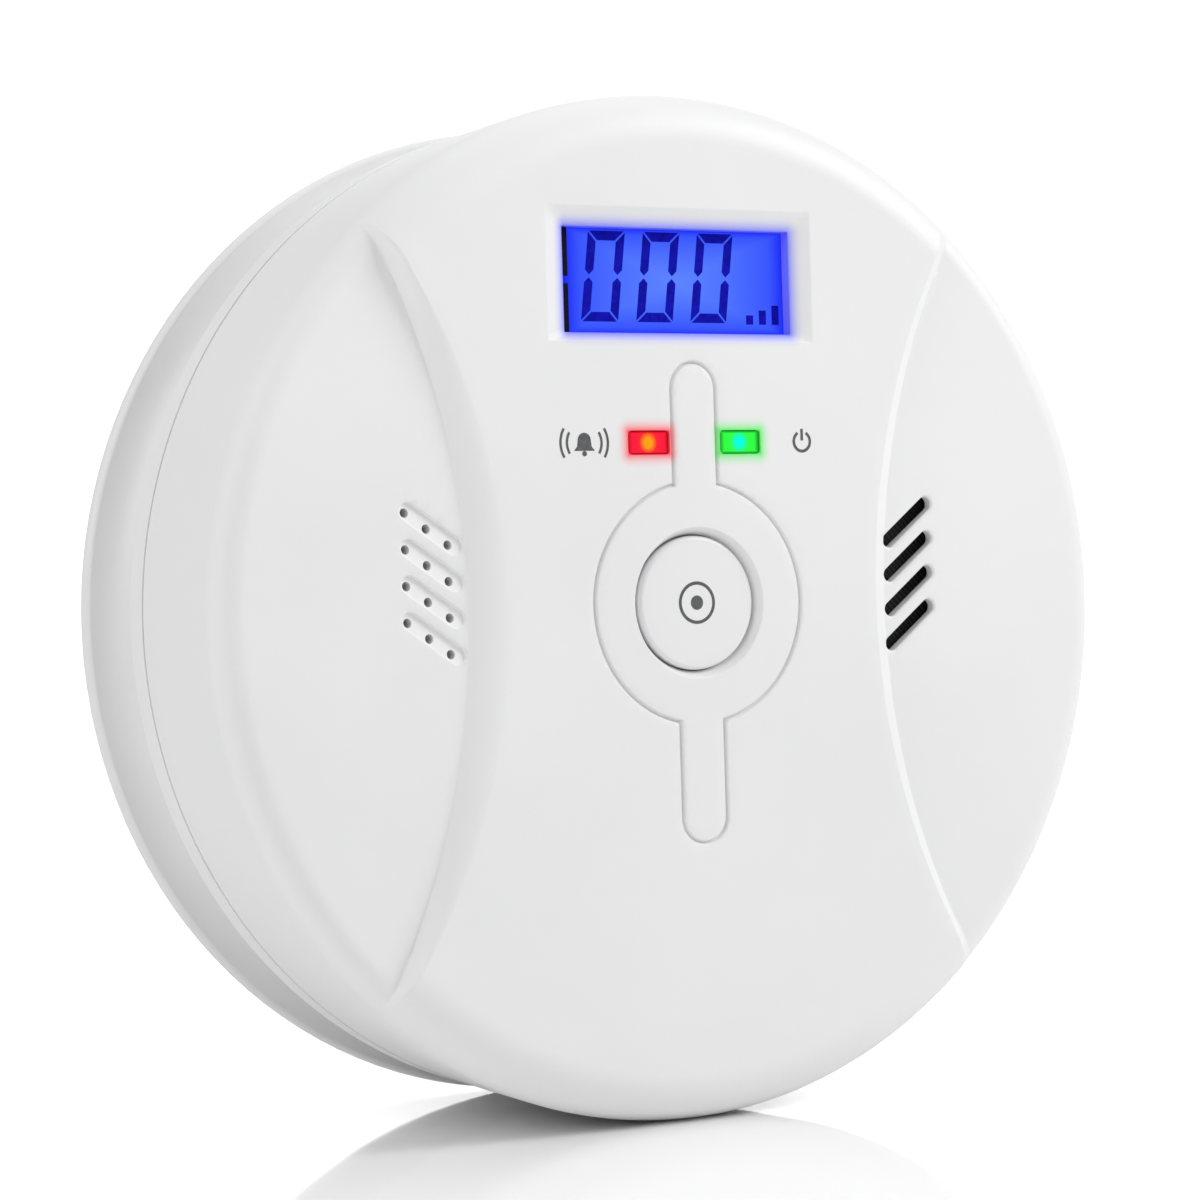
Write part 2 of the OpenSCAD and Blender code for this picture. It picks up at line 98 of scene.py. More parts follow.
def corner_normals(points, triangles, patches):
    """The normal at each corner: the mean, weighted by area, of the faces of its own patch at that point."""
    a, b, c = (points[triangles[:, i]] for i in range(3))
    face = np.cross(b - a, c - a)
    key = patches.astype(np.int64)[:, None] * len(points) + triangles
    _, owner = np.unique(key, return_inverse=True)
    owner = owner.ravel()
    total = np.zeros((owner.max() + 1, 3))
    np.add.at(total, owner, np.repeat(face, 3, axis=0))
    total /= np.maximum(np.linalg.norm(total, axis=1, keepdims=True), 1e-12)
    return total[owner]


def face_out(rows):
    """Face-up rows (across, up, depth) as rows of the frame, where the front faces -Y."""
    return np.stack([rows[:, 0], -rows[:, 2], rows[:, 1]], axis=1)


scene = bpy.context.scene


def make_piece(name, shape, finish, body, stands_for=()):
    """One mesh object from a shape in millimetres, with its finish, its body and the nodes it stands for."""
    points, triangles, patches = shape
    mesh = bpy.data.meshes.new(name)
    mesh.vertices.add(len(points))
    mesh.vertices.foreach_set("co", (face_out(points) * MM).astype(np.float32).ravel())
    mesh.loops.add(triangles.size)
    mesh.loops.foreach_set("vertex_index", triangles.astype(np.int32).ravel())
    mesh.polygons.add(len(triangles))
    mesh.polygons.foreach_set("loop_start", np.arange(0, triangles.size, 3, dtype=np.int32))
    mesh.polygons.foreach_set("use_smooth", np.ones(len(triangles), bool))
    mesh.update(calc_edges=True)
    mesh.normals_split_custom_set(face_out(corner_normals(points, triangles, patches)).tolist())
    mesh.materials.append(finish)
    piece = bpy.data.objects.new(name, mesh)
    scene.collection.objects.link(piece)
    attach(piece, body)
    if stands_for:
        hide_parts(*stands_for)
    print(f"{name}: {len(triangles)} triangles")
    return piece


# %% [markdown]
# ## Three ways to make a surface
# A *turned* shape carries a closed profile round an axis, like work on a lathe. A *slab* is an outline with a
# thickness and softened edges. A *sheet* is a flat region cut into triangles that follow chosen lines, which
# are then lifted to a height given by a formula. The sheet is what a cover with many openings needs.

# %% Profiles and outlines


def eased(corners, radii, steps=7):
    """A closed outline whose corners are parabolas that start and end one radius from the corner."""
    corners = np.asarray(corners, float)
    radii = np.broadcast_to(np.asarray(radii, float), len(corners))
    before = np.roll(corners, 1, axis=0) - corners
    after = np.roll(corners, -1, axis=0) - corners
    before /= np.linalg.norm(before, axis=1, keepdims=True)
    after /= np.linalg.norm(after, axis=1, keepdims=True)
    t = np.linspace(0, 1, steps)[None, :, None]
    a = (corners + before * radii[:, None])[:, None]
    c = (corners + after * radii[:, None])[:, None]
    curve = (1 - t) ** 2 * a + 2 * t * (1 - t) * corners[:, None] + t**2 * c
    rows = curve.reshape(-1, 2)
    return rows[np.linalg.norm(rows - np.roll(rows, 1, axis=0), axis=1) > 1e-9]


def patch_numbers(outline, crisp=38):
    """A patch number for each side of a closed outline; a new one starts at a turn of over crisp degrees."""
    side = np.roll(outline, -1, axis=0) - outline
    heading = np.arctan2(side[:, 1], side[:, 0])
    turn = np.abs((heading - np.roll(heading, 1) + np.pi) % (2 * np.pi) - np.pi)
    number = np.cumsum(turn > math.radians(crisp))
    if turn[0] > math.radians(crisp):
        return number - 1
    return number % max(number.max(), 1)


def quads(index):
    """Two triangles for each cell of a grid of point numbers, without those that have shrunk to a line."""
    a, b, c, d = index[:-1, :-1], index[1:, :-1], index[1:, 1:], index[:-1, 1:]
    both = np.stack([np.stack([a, b, c], -1), np.stack([a, c, d], -1)], axis=2).reshape(-1, 3)
    kept = (both[:, 0] != both[:, 1]) & (both[:, 1] != both[:, 2]) & (both[:, 2] != both[:, 0])
    return both, kept


def turned(profile, centre=(0, 0), steps=128):
    """A closed profile of (radius, depth) rows, anticlockwise, at every angle: (r cos a, r sin a, depth)."""
    profile = np.asarray(profile, float)
    angle = np.linspace(0, 2 * np.pi, steps, endpoint=False)[:, None]
    rows = np.stack([centre[0] + profile[:, 0] * np.cos(angle), centre[1] + profile[:, 0] * np.sin(angle),
                     np.broadcast_to(profile[:, 1], (steps, len(profile)))], axis=-1).reshape(-1, 3)
    index = np.arange(steps * len(profile)).reshape(steps, -1)
    index[:, profile[:, 0] < 1e-9] = index[:1, profile[:, 0] < 1e-9]
    index = np.concatenate([index, index[:1]])
    index = np.concatenate([index, index[:, :1]], axis=1)
    triangles, kept = quads(index)
    patches = np.repeat(np.tile(patch_numbers(profile), steps), 2)
    return rows, triangles[kept], patches[kept]


def filled(outline):
    """The inside of a closed outline as triangles that face the front."""
    loop = list(range(len(outline)))
    rows, _, faces, _, _, _ = delaunay_2d_cdt([tuple(p) for p in outline], [], [loop], 1, 1e-7)
    rows, faces = np.array(rows), np.array(faces)
    a, b, c = (rows[faces[:, i]] for i in range(3))
    back = (b[:, 0] - a[:, 0]) * (c[:, 1] - a[:, 1]) < (b[:, 1] - a[:, 1]) * (c[:, 0] - a[:, 0])
    faces[back] = faces[back][:, ::-1]
    return rows, faces


def slab(outline, low, high, edge=0.0):
    """An anticlockwise outline from depth low to high. Its front edge is a quarter circle of radius edge:
    the outline moves in by edge (1 - cos) while it climbs by edge sin."""
    outline = np.asarray(outline, float)
    side = np.roll(outline, -1, axis=0) - np.roll(outline, 1, axis=0)
    inward = np.stack([-side[:, 1], side[:, 0]], 1) / np.linalg.norm(side, axis=1, keepdims=True)
    bend = np.linspace(0, np.pi / 2, 6 if edge else 1)
    moves = np.concatenate([[0], edge * (1 - np.cos(bend))])
    levels = np.concatenate([[low], high - edge + edge * np.sin(bend)])
    rings = outline[None] + inward[None] * moves[:, None, None]
    depth = np.broadcast_to(levels[:, None, None], rings.shape[:2] + (1,))
    wall = np.concatenate([rings, depth], axis=-1).reshape(-1, 3)
    index = np.arange(len(wall)).reshape(len(levels), -1)
    triangles, _ = quads(np.concatenate([index, index[:, :1]], axis=1).T)
    count = len(outline)
    side_patch = np.repeat(patch_numbers(outline), 2 * (len(levels) - 1))
    _, cap = filled(outline)
    top = cap + index[-1, 0]
    patches = np.concatenate([side_patch, np.full(len(cap), count), np.full(len(cap), count + 1)])
    return wall, np.concatenate([triangles, top, cap[:, ::-1]]), patches


# %% Distances to the cover's outlines


def to_circle(p, centre, radius):
    """How far each point is outside a circle, negative inside."""
    return np.hypot(p[:, 0] - centre[0], p[:, 1] - centre[1]) - radius


def to_bar(p, a, b, radius):
    """How far each point is outside a bar with round ends: the distance to its middle line, less its
    radius."""
    a, b = np.asarray(a, float), np.asarray(b, float)
    along = np.clip((p - a) @ (b - a) / ((b - a) @ (b - a)), 0, 1)
    return np.linalg.norm(p - a - along[:, None] * (b - a), axis=1) - radius


def to_box(p, centre, half, radius):
    """How far each point is outside a box with round corners."""
    q = np.abs(p - np.asarray(centre)) - np.asarray(half) + radius
    return np.linalg.norm(np.maximum(q, 0), axis=1) + np.minimum(q.max(axis=1), 0) - radius


def arc(centre, radius, start, end, steps):
    """Points on an arc, from start to end in degrees."""
    angle = np.radians(np.linspace(start, end, steps))
    return np.asarray(centre) + radius * np.stack([np.cos(angle), np.sin(angle)], axis=1)


def circle(centre, radius, steps):
    """A closed round outline."""
    return arc(centre, radius, 0, 360, steps + 1)[:-1]


def bar(a, b, radius, steps=14):
    """The outline of a bar with round ends, each side cut about every half millimetre."""
    a, b = np.asarray(a, float), np.asarray(b, float)
    heading = math.degrees(math.atan2(b[1] - a[1], b[0] - a[0]))
    end = arc(b, radius, heading - 90, heading + 90, steps)
    start = arc(a, radius, heading + 90, heading + 270, steps)
    share = np.linspace(0, 1, int(np.linalg.norm(b - a) / 0.5) + 2)[1:-1, None]
    back = end[-1] + share * (start[0] - end[-1])
    forth = start[-1] + share * (end[0] - start[-1])
    return np.concatenate([end, back, start, forth])


def box_outline(low, high, step=0.8):
    """A rectangle's outline with points about every step."""
    corners = np.array([low, (high[0], low[1]), high, (low[0], high[1])], float)
    sides = []
    for a, b in zip(corners, np.roll(corners, -1, axis=0)):
        sides.append(a + np.arange(0, 1, step / np.linalg.norm(b - a))[:, None] * (b - a))
    return np.concatenate(sides)


# %% [markdown]
# ## The front cover's form
# The face is one height formula. A flat band runs down the middle. On each side a panel lies a little lower,
# and between them is a ridge whose slope is wide at the waist and narrow at both ends. The outer edge of the
# band is rounded more than that of the panels, so the ridge fades out as it goes over the edge.

# %% Sizes of the face, in millimetres
EDGE_START = 45
OUTER_R = 49.98
BAND = 34.98
BAND_ROUND = 5
PANEL_WAIST = 33.8
PANEL_RIM = 33.2
PANEL_ROUND = 2.78
PANEL_START = 21.8
PANEL_END = 47.2
CEILING = 31.2
POCKET = 33
POCKET_R = 44
POCKET_INSET = 2.2
POCKET_SLOPE = 0.6
MIDDLE = 0.4
RIDGE_RISE = 35.3
# for each side: the top line at the waist and at the ends, the foot line at both, and the power of the slope
RIDGES = {-1: ((20.9, 32.7), (24.8, 33.5), 1.7), 1: ((20.7, 30.1), (22.6, 31.9), 1.0)}
RIDGE_STEPS = (0, 0.1, 0.22, 0.36, 0.5, 0.64, 0.76, 0.87, 0.95, 1)


def ridge_line(up, waist, end):
    """Across-position of an arc through waist and end, of radius (rise squared + sag squared) / 2 sag."""
    sag = end - waist
    radius = (RIDGE_RISE**2 + sag**2) / (2 * sag)
    return waist + radius - np.sqrt(radius**2 - np.minimum(np.abs(up - MIDDLE), 0.97 * radius) ** 2)


def panel_share(p):
    """0 on the band and 1 on a panel; over the ridge it grows as a power, and is steepest at the foot."""
    share = np.zeros(len(p))
    for side, (top, foot, power) in RIDGES.items():
        start, stop = ridge_line(p[:, 1], *top), ridge_line(p[:, 1], *foot)
        t = np.clip((side * p[:, 0] - start) / np.maximum(stop - start, 0.35), 0, 1)
        share = np.maximum(share, t**power)
    return share


def ramp(t, soft):
    """A ramp from 0 to 1, eased over its first share soft: t squared / 2 soft, then t - soft / 2."""
    t = np.clip(t, 0, 1)
    return np.where(t < soft, t**2 / (2 * soft), t - soft / 2) / (1 - soft / 2)


# %% Openings and lines in the face
GLASS_OUT = ((-16.1, 25.55), (14.2, 38.6))
GLASS_IN = ((-13.75, 26.45), (11.95, 36.55))
GLASS_MID = (-0.9, 31.5)
GLASS_HALF = (12.85, 5.05)
BEVEL = 0.8
BEVEL_SOFT = 0.12
BUTTON_R = 6.5
BUTTON_HOLE = 6.62
DISH_R = 7.35
DISH = 1.4
DISH_SOFT = 0.15
LAMP_AT = ((-5.2, 15.9), (5.2, 15.9))
LAMP_HALF = (2.34, 1.16)
RING_R = 11.7
STEM_HALF = 2.5
STEM_END = 20.7
GROOVE_HALF = 0.28
GROOVE = 0.45
ROWS = 4
HOLE_R = 0.45
SPEAKER_A = np.array([-31, 9.6])
SPEAKER_B = np.array([-26.6, 6.55])
SPEAKER_STEP = 3.4
SPEAKER_HALF = 0.95
SPEAKER_DROP = 0.36
# how far a sounder slot starts after its first hole, runs past its last one, and lies above their row
SLOT_START = 0.15
SLOT_OVERRUN = 0.6
SLOT_LIFT = 0.25
# the slot's wall is this wide, and its floor keeps this share of its depth along the lower edge
SLOT_WALL = 0.18
SLOT_SHALLOW = 0.12
VENT_A = np.array([23.5, 6.0])
VENT_B = np.array([28.1, 9.55])
VENT_STEP = 3.45
VENT_R = 0.75
# the edge of a vent is softened over this width, by this much, and the roof is thinned round it
VENT_EDGE = 0.25
VENT_SINK = 0.2
VENT_THIN = 1.3
ALONG = (SPEAKER_B - SPEAKER_A) / np.linalg.norm(SPEAKER_B - SPEAKER_A)
ACROSS = np.array([-ALONG[1], ALONG[0]])

speaker_bars = []
speaker_holes = []
vent_bars = []
for row in range(ROWS):
    shift = np.array([0, -row * SPEAKER_STEP])
    lift = SLOT_LIFT * ACROSS
    start = SPEAKER_A + shift + SLOT_START * ALONG + lift
    speaker_bars.append((start, SPEAKER_B + shift + SLOT_OVERRUN * ALONG + lift))
    for share in (0, 0.5, 1):
        speaker_holes.append(SPEAKER_A + shift + share * (SPEAKER_B - SPEAKER_A))
    drop = np.array([0, -row * VENT_STEP])
    vent_bars.append((VENT_A + drop, VENT_B + drop))
print("sounder holes", len(speaker_holes), "vents", len(vent_bars))


def keyhole_outline(grow):
    """The ring joined to a stem above and below, moved out by grow: they meet at the angle asin(half /
    radius)."""
    radius, half = RING_R + grow, STEM_HALF + grow
    meet = math.degrees(math.asin(half / radius))
    low = radius * math.cos(math.radians(meet))
    rise = np.linspace(low, STEM_END, 18)[1:-1]
    straight = np.stack([np.full(len(rise), half), rise], axis=1)
    right = arc((0, 0), radius, meet - 90, 90 - meet, 90)
    left = arc((0, 0), radius, 90 + meet, 270 - meet, 90)
    top = arc((0, STEM_END), half, 0, 180, 24)
    bottom = arc((0, -STEM_END), half, 180, 360, 24)
    upper = [right, straight, top, (straight * (-1, 1))[::-1]]
    lower = [left, -straight, bottom, (straight * (1, -1))[::-1]]
    return np.concatenate(upper + lower) + (0, MIDDLE)


def face_height(p):
    """Depth of the front surface: band or panel, less the display's bevel, the button's dish, the engraved
    line, the graded speaker slots and the softened vent edges."""
    radius = np.hypot(p[:, 0], p[:, 1])
    slope = (PANEL_WAIST - PANEL_RIM) / (PANEL_END - PANEL_START)
    panel = PANEL_WAIST - slope * np.maximum(radius - PANEL_START, 0)
    height = BAND + panel_share(p) * (panel - BAND)
    (x0, z0), (x1, z1) = GLASS_OUT
    (a0, b0), (a1, b1) = GLASS_IN
    left, right = (p[:, 0] - x0) / (a0 - x0), (x1 - p[:, 0]) / (x1 - a1)
    bottom, top = (p[:, 1] - z0) / (b0 - z0), (z1 - p[:, 1]) / (z1 - b1)
    height -= BEVEL * ramp(np.min([left, right, bottom, top], axis=0), BEVEL_SOFT)
    dish = -to_circle(p, (0, MIDDLE), DISH_R) / (DISH_R - BUTTON_HOLE)
    height -= DISH * ramp(dish, DISH_SOFT)
    ring = to_circle(p, (0, MIDDLE), RING_R)
    stem = to_bar(p, (0, MIDDLE - STEM_END), (0, MIDDLE + STEM_END), STEM_HALF)
    height -= GROOVE * np.cos(np.pi / 2 * np.clip(np.minimum(ring, stem) / GROOVE_HALF, -1, 1)) ** 2
    for a, b in speaker_bars:
        inside = -to_bar(p, a, b, SPEAKER_HALF)
        tilt = np.clip(((p - a) @ ACROSS + SPEAKER_HALF) / (1.75 * SPEAKER_HALF), 0, 1)
        floor_share = SLOT_SHALLOW + (1 - SLOT_SHALLOW) * tilt
        height -= SPEAKER_DROP * np.clip(inside / SLOT_WALL, 0, 1) * floor_share
    for a, b in vent_bars:
        height -= VENT_SINK * ramp(1 - to_bar(p, a, b, VENT_R) / VENT_EDGE, 0.5)
    return height


def roof_height(p):
    """Depth of the inner surface: the ceiling, with a pocket behind the band, 2.2 mm narrower than it, and
    a thin place round the vents."""
    room = POCKET_R - np.hypot(p[:, 0], p[:, 1])
    for side, (top, _, _) in RIDGES.items():
        room = np.minimum(room, ridge_line(p[:, 1], *top) - POCKET_INSET - side * p[:, 0])
    thin = np.min([to_bar(p, a, b, VENT_R) for a, b in vent_bars], axis=0)
    pocket = (POCKET - CEILING) * np.clip(room / POCKET_SLOPE, 0, 1)
    return CEILING + np.maximum(pocket, VENT_THIN * np.clip(2 - thin, 0, 1))


def in_opening(p):
    """True where a point lies in an opening that goes right through."""
    gaps = [to_box(p, GLASS_MID, GLASS_HALF, 0), to_circle(p, (0, MIDDLE), BUTTON_HOLE)]
    gaps += [to_box(p, at, LAMP_HALF, 0.35) for at in LAMP_AT]
    gaps += [to_circle(p, at, HOLE_R) for at in speaker_holes]
    gaps += [to_bar(p, a, b, VENT_R) for a, b in vent_bars]
    return np.min(gaps, axis=0) < 0


# %% [markdown]
# ## Cutting the face into triangles
# A Delaunay triangulation keeps every line that it is told to keep. So each feature gives its own nested
# outlines: a few close together where the surface bends quickly, none where it is flat. Loose points fill the
# space between. After the triangles inside openings are dropped, the edges that have only one triangle left
# are the rims, and each rim edge drops a small wall down to the inner surface.

# %% Lines that the triangles follow
loops = [keyhole_outline(g) for g in np.linspace(-GROOVE_HALF, GROOVE_HALF, 7)]
outer, inner = np.array(GLASS_OUT), np.array(GLASS_IN)
for share in (0, 0.06, 0.12, 0.4, 0.7, 1):
    loops.append(box_outline(*(outer + share * (inner - outer))))
loops += [circle((0, MIDDLE), r, 120) for r in (BUTTON_HOLE, 6.75, 6.9, 7.05, 7.18, 7.26, 7.31, DISH_R, 7.5)]
for at in LAMP_AT:
    x, z = LAMP_HALF
    corners = np.array([(-x, -z), (x, -z), (x, z), (-x, z)]) + at
    loops.append(eased(corners, 0.5))
for a, b in speaker_bars:
    loops += [bar(a, b, SPEAKER_HALF - inset) for inset in (0, 0.09, 0.18)]
loops += [circle(at, HOLE_R, 24) for at in speaker_holes]
for a, b in vent_bars:
    loops += [bar(a, b, VENT_R + grow, 18) for grow in (0, 0.05, 0.12, 0.25)]

rise = np.linspace(-32.5, 32.5, 84) + MIDDLE
lines = []
for side, ((top_waist, top_end), (foot_waist, foot_end), _) in RIDGES.items():
    for t in RIDGE_STEPS:
        top, foot = ridge_line(rise, top_waist, top_end), ridge_line(rise, foot_waist, foot_end)
        line = np.stack([side * (top + t * (foot - top)), rise], axis=1)
        lines.append(line[np.hypot(line[:, 0], line[:, 1]) < EDGE_START - 0.35])

# angles of the outer edge, closer together where the ridges cross it
CROSSINGS = (47.9, 134.0, -47.2, -133.4)
angles = np.arange(0, 360, 1.0)
for crossing in CROSSINGS:
    angles = np.concatenate([angles, np.arange(crossing - 6, crossing + 6, 0.15) % 360])
angles = np.sort(angles)
angles = angles[np.concatenate([np.diff(angles) > 0.08, [True]])]
turns = np.radians(angles)
rim = EDGE_START * np.stack([np.cos(turns), np.sin(turns)], axis=1)

spread = np.arange(-EDGE_START, EDGE_START, 1.4)
grid = np.stack(np.meshgrid(spread, spread), axis=-1).reshape(-1, 2)
grid = grid[np.hypot(grid[:, 0], grid[:, 1]) < EDGE_START - 0.8]
chosen = np.concatenate(loops + lines)
nearest = np.min([np.hypot(*(grid[:, None] - part[None]).transpose(2, 0, 1)).min(axis=1)
                  for part in np.array_split(chosen, 12)], axis=0)
grid = grid[nearest > 0.5]
print("points on lines", len(chosen), "loose points", len(grid), "rim", len(rim))

# %% Triangulate, drop the openings, lift to height


def cut_sheet(loops, lines, rim, loose):
    """Points and front-facing triangles of the region inside rim, with every loop and line kept as edges."""
    parts, edges, first = [], [], 0
    for part, closed in [(part, True) for part in [*loops, rim]] + [(part, False) for part in lines]:
        number = np.arange(len(part)) + first
        pairs = np.stack([number, np.roll(number, -1)], axis=1)
        edges.append(pairs if closed else pairs[:-1])
        parts.append(part)
        first += len(part)
    rows = np.concatenate(parts + [loose])
    rows, _, faces, _, _, _ = delaunay_2d_cdt(rows.tolist(), np.concatenate(edges).tolist(), [], 0, 1e-6)
    rows, faces = np.array(rows), np.array(faces)
    a, b, c = (rows[faces[:, i]] for i in range(3))
    area = (b[:, 0] - a[:, 0]) * (c[:, 1] - a[:, 1]) - (b[:, 1] - a[:, 1]) * (c[:, 0] - a[:, 0])
    faces[area < 0] = faces[area < 0][:, ::-1]
    return rows, faces[np.abs(area) > 1e-9]


flat, facets = cut_sheet(loops, lines, rim, grid)
middle = flat[facets].mean(axis=1)
facets = facets[~in_opening(middle)]
used = np.unique(facets)
renumber = np.full(len(flat), -1)
renumber[used] = np.arange(len(used))
flat, facets = flat[used], renumber[facets]
print("face", len(flat), "points", len(facets), "triangles")

# %% The rounded edge, the side and the rear lip


def at_shares(path, count):
    """count points along a path of (radius, depth) rows, evenly by length."""
    path = np.asarray(path, float)
    length = np.concatenate([[0], np.cumsum(np.linalg.norm(np.diff(path, axis=0), axis=1))])
    where = np.linspace(0, length[-1], count)
    return np.stack([np.interp(where, length, path[:, 0]), np.interp(where, length, path[:, 1])], axis=1)


bend = np.linspace(0, np.pi / 2, 24)
SIDE_TOP = (49.9, 27)
band_curve = np.stack([EDGE_START + (OUTER_R - EDGE_START) * np.sin(bend),
                       BAND - BAND_ROUND + BAND_ROUND * np.cos(bend)], axis=1)
band_path = np.concatenate([band_curve, [SIDE_TOP]])
rim_height = face_height(np.array([[EDGE_START, 0.0]]))[0]
panel_in = OUTER_R - PANEL_ROUND
panel_curve = np.stack([panel_in + PANEL_ROUND * np.sin(bend),
                        PANEL_RIM - PANEL_ROUND + PANEL_ROUND * np.cos(bend)], axis=1)
panel_path = np.concatenate([[(EDGE_START, rim_height)], panel_curve, [SIDE_TOP]])
EDGE_ROWS = 30
band_rows, panel_rows = at_shares(band_path, EDGE_ROWS), at_shares(panel_path, EDGE_ROWS)
LIP = 14.62
outside = [(49.72, 21), (49.42, 14.98), (49.36, 14.78)]
lip = [(49.22, LIP), (47.75, LIP)]
inside = [(47.62, 14.8), (47.75, 22), (47.9, 29.6), (46.4, CEILING)]
common = np.array(outside + lip + inside)

around = np.stack([np.cos(turns), np.sin(turns)], axis=1)
rows = []
for band_row, panel_row in zip(band_rows[1:], panel_rows[1:]):
    share = panel_share(band_row[0] * around)[:, None]
    ring = band_row + share * (panel_row - band_row)
    rows.append(np.concatenate([ring[:, :1] * around, ring[:, 1:]], axis=1))
for radius, depth in common:
    rows.append(np.concatenate([radius * around, np.full((len(around), 1), depth)], axis=1))

front = np.concatenate([flat, face_height(flat)[:, None]], axis=1)
roof = np.concatenate([flat, roof_height(flat)[:, None]], axis=1)
count = len(front)
on_rim = np.where(np.hypot(flat[:, 0], flat[:, 1]) > EDGE_START - 1e-4)[0]
on_rim = on_rim[np.argsort(np.degrees(np.arctan2(flat[on_rim, 1], flat[on_rim, 0])) % 360)]
assert len(on_rim) == len(turns)
body_rows = np.arange(len(rows) * len(turns)).reshape(len(rows), -1) + 2 * count
index = np.concatenate([on_rim[None], body_rows, on_rim[None] + count])
index = np.concatenate([index, index[:, :1]], axis=1)
side_triangles, _ = quads(index)
row_patch = np.zeros(len(rows) + 1, int)
row_patch[EDGE_ROWS - 1 + len(outside):] = 2
row_patch[EDGE_ROWS - 1 + len(outside) + len(lip):] = 3
side_patches = np.repeat(row_patch, 2 * len(turns))

# %% Walls of the openings
edges = np.concatenate([facets[:, [0, 1]], facets[:, [1, 2]], facets[:, [2, 0]]])
forward = edges[:, 0].astype(np.int64) * count + edges[:, 1]
backward = edges[:, 1].astype(np.int64) * count + edges[:, 0]
open_edges = edges[~np.isin(forward, backward)]
is_rim = np.isin(open_edges, on_rim).all(axis=1)
a, b = open_edges[~is_rim].T
walls = np.concatenate([np.stack([b, a, a + count], 1), np.stack([b, a + count, b + count], 1)])
run = flat[b] - flat[a]
straight_way = np.round(np.degrees(np.arctan2(run[:, 1], run[:, 0])) / 90).astype(int) % 4
by_glass = to_box((flat[a] + flat[b]) / 2, GLASS_MID, GLASS_HALF, 0) < 0.5
wall_patch = np.where(by_glass, 5 + straight_way, 4)
patches = [np.zeros(len(facets), int), side_patches, np.full(len(facets), 1), np.tile(wall_patch, 2)]
shell = (np.concatenate([front, roof] + rows),
         np.concatenate([facets, side_triangles, facets[:, ::-1] + count, walls]),
         np.concatenate(patches))
print("cover shell", len(shell[1]), "triangles")

# %% [markdown]
# ## Posts, sounder chamber and display frame
# Behind the face are the parts that the mould adds for the works: four posts for the case screws, four for
# the board, a round chamber that makes the sounder loud, and a frame that locates the display. Each is a
# closed tube whose front end is buried in the roof.

# %% Inner features of the cover


def tube(centre, outer, inner, low, high, steps=64):
    """A round tube with a softened rear edge."""
    soft = 0.2
    rear = [(inner, low + soft), (inner + soft, low), (outer - soft, low), (outer, low + soft)]
    return turned([*rear, (outer, high), (inner, high)], centre, steps)


# the outer radius, the bore's radius and the rear end of each kind of tube
CASE_POST = (3.2, 1.3, 11.3)
BOARD_POST = (2.4, 1.05, 27)
CHAMBER = (12, 10.9, 28.35)
CHAMBER_AT = (-28.8, 3)
# how far they run into the cover's wall
ROOT = 0.3
CASE_ROOT = 0.4
CASE_POST_AT = (31, 25.5)
BOARD_POST_X = 20.5
BOARD_POST_Z = (33, -34)

posts = []
for sx in (-1, 1):
    for sz in (-1, 1):
        posts.append(tube((sx * CASE_POST_AT[0], sz * CASE_POST_AT[1]), *CASE_POST, CEILING + CASE_ROOT))
for sx in (-1, 1):
    for z in BOARD_POST_Z:
        posts.append(tube((sx * BOARD_POST_X, z), *BOARD_POST, POCKET + ROOT))
chamber = tube(CHAMBER_AT, *CHAMBER, CEILING + ROOT, 96)

# the display's frame is four straight walls that overlap by 0.05 mm at the corners
FRAME_WALL = 0.85
FRAME_REAR = 29
(x0, z0), (x1, z1) = (-16.6, 23.2), (15, 39.4)
left, right = x0 + FRAME_WALL, x1 - FRAME_WALL
wall_boxes = (((x0, z0), (left, z1)), ((right, z0), (x1, z1)),
              ((left - 0.05, z0), (right + 0.05, z0 + FRAME_WALL)),
              ((left - 0.05, z1 - FRAME_WALL), (right + 0.05, z1)))
display_frame = [slab(box_outline(low, high, 20), FRAME_REAR, POCKET + ROOT) for low, high in wall_boxes]
print("posts", len(posts), "frame walls", len(display_frame))

# %% [markdown]
# ## Finishes
# A material starts from what the real thing is and how its surface was made. One helper adds a node with its
# settings and its links, and every colour is a hex value turned from sRGB to linear light.

# %% Colour and node helpers


def linear(hex_colour, alpha=1.0):
    """An sRGB hex colour as linear values: c / 12.92 when dark, else ((c + 0.055) / 1.055) to the power
    2.4."""
    values = [int(hex_colour[i:i + 2], 16) / 255 for i in (1, 3, 5)]
    return tuple(v / 12.92 if v <= 0.04045 else ((v + 0.055) / 1.055) ** 2.4 for v in values) + (alpha,)


def add(material, kind, settings=None, inputs=None):
    """Adds one node of a shader kind. Settings are its properties, with a ramp's colours as (place, hex)
    stops. An input is a value, a hex colour, or an output to link from."""
    node = material.node_tree.nodes.new("ShaderNode" + kind)
    for name, value in (settings or {}).items():
        if name == "stops":
            elements = node.color_ramp.elements
            while len(elements) < len(value):
                elements.new(0.5)
            for element, (place, colour) in zip(elements, value):
                element.position = place
                element.color = linear(colour)
        else:
            setattr(node, name, value)
    for name, value in (inputs or {}).items():
        if isinstance(value, bpy.types.NodeSocket):
            material.node_tree.links.new(value, node.inputs[name])
        else:
            node.inputs[name].default_value = linear(value) if isinstance(value, str) else value
    return node


def new_finish(name):
    """An empty node material and the output that its surface goes to."""
    material = bpy.data.materials.new(name)
    material.use_nodes = True
    material.node_tree.nodes.clear()
    return material


def close(material, surface):
    """Links a shader to the material's output."""
    add(material, "OutputMaterial", inputs={"Surface": surface})
    return material


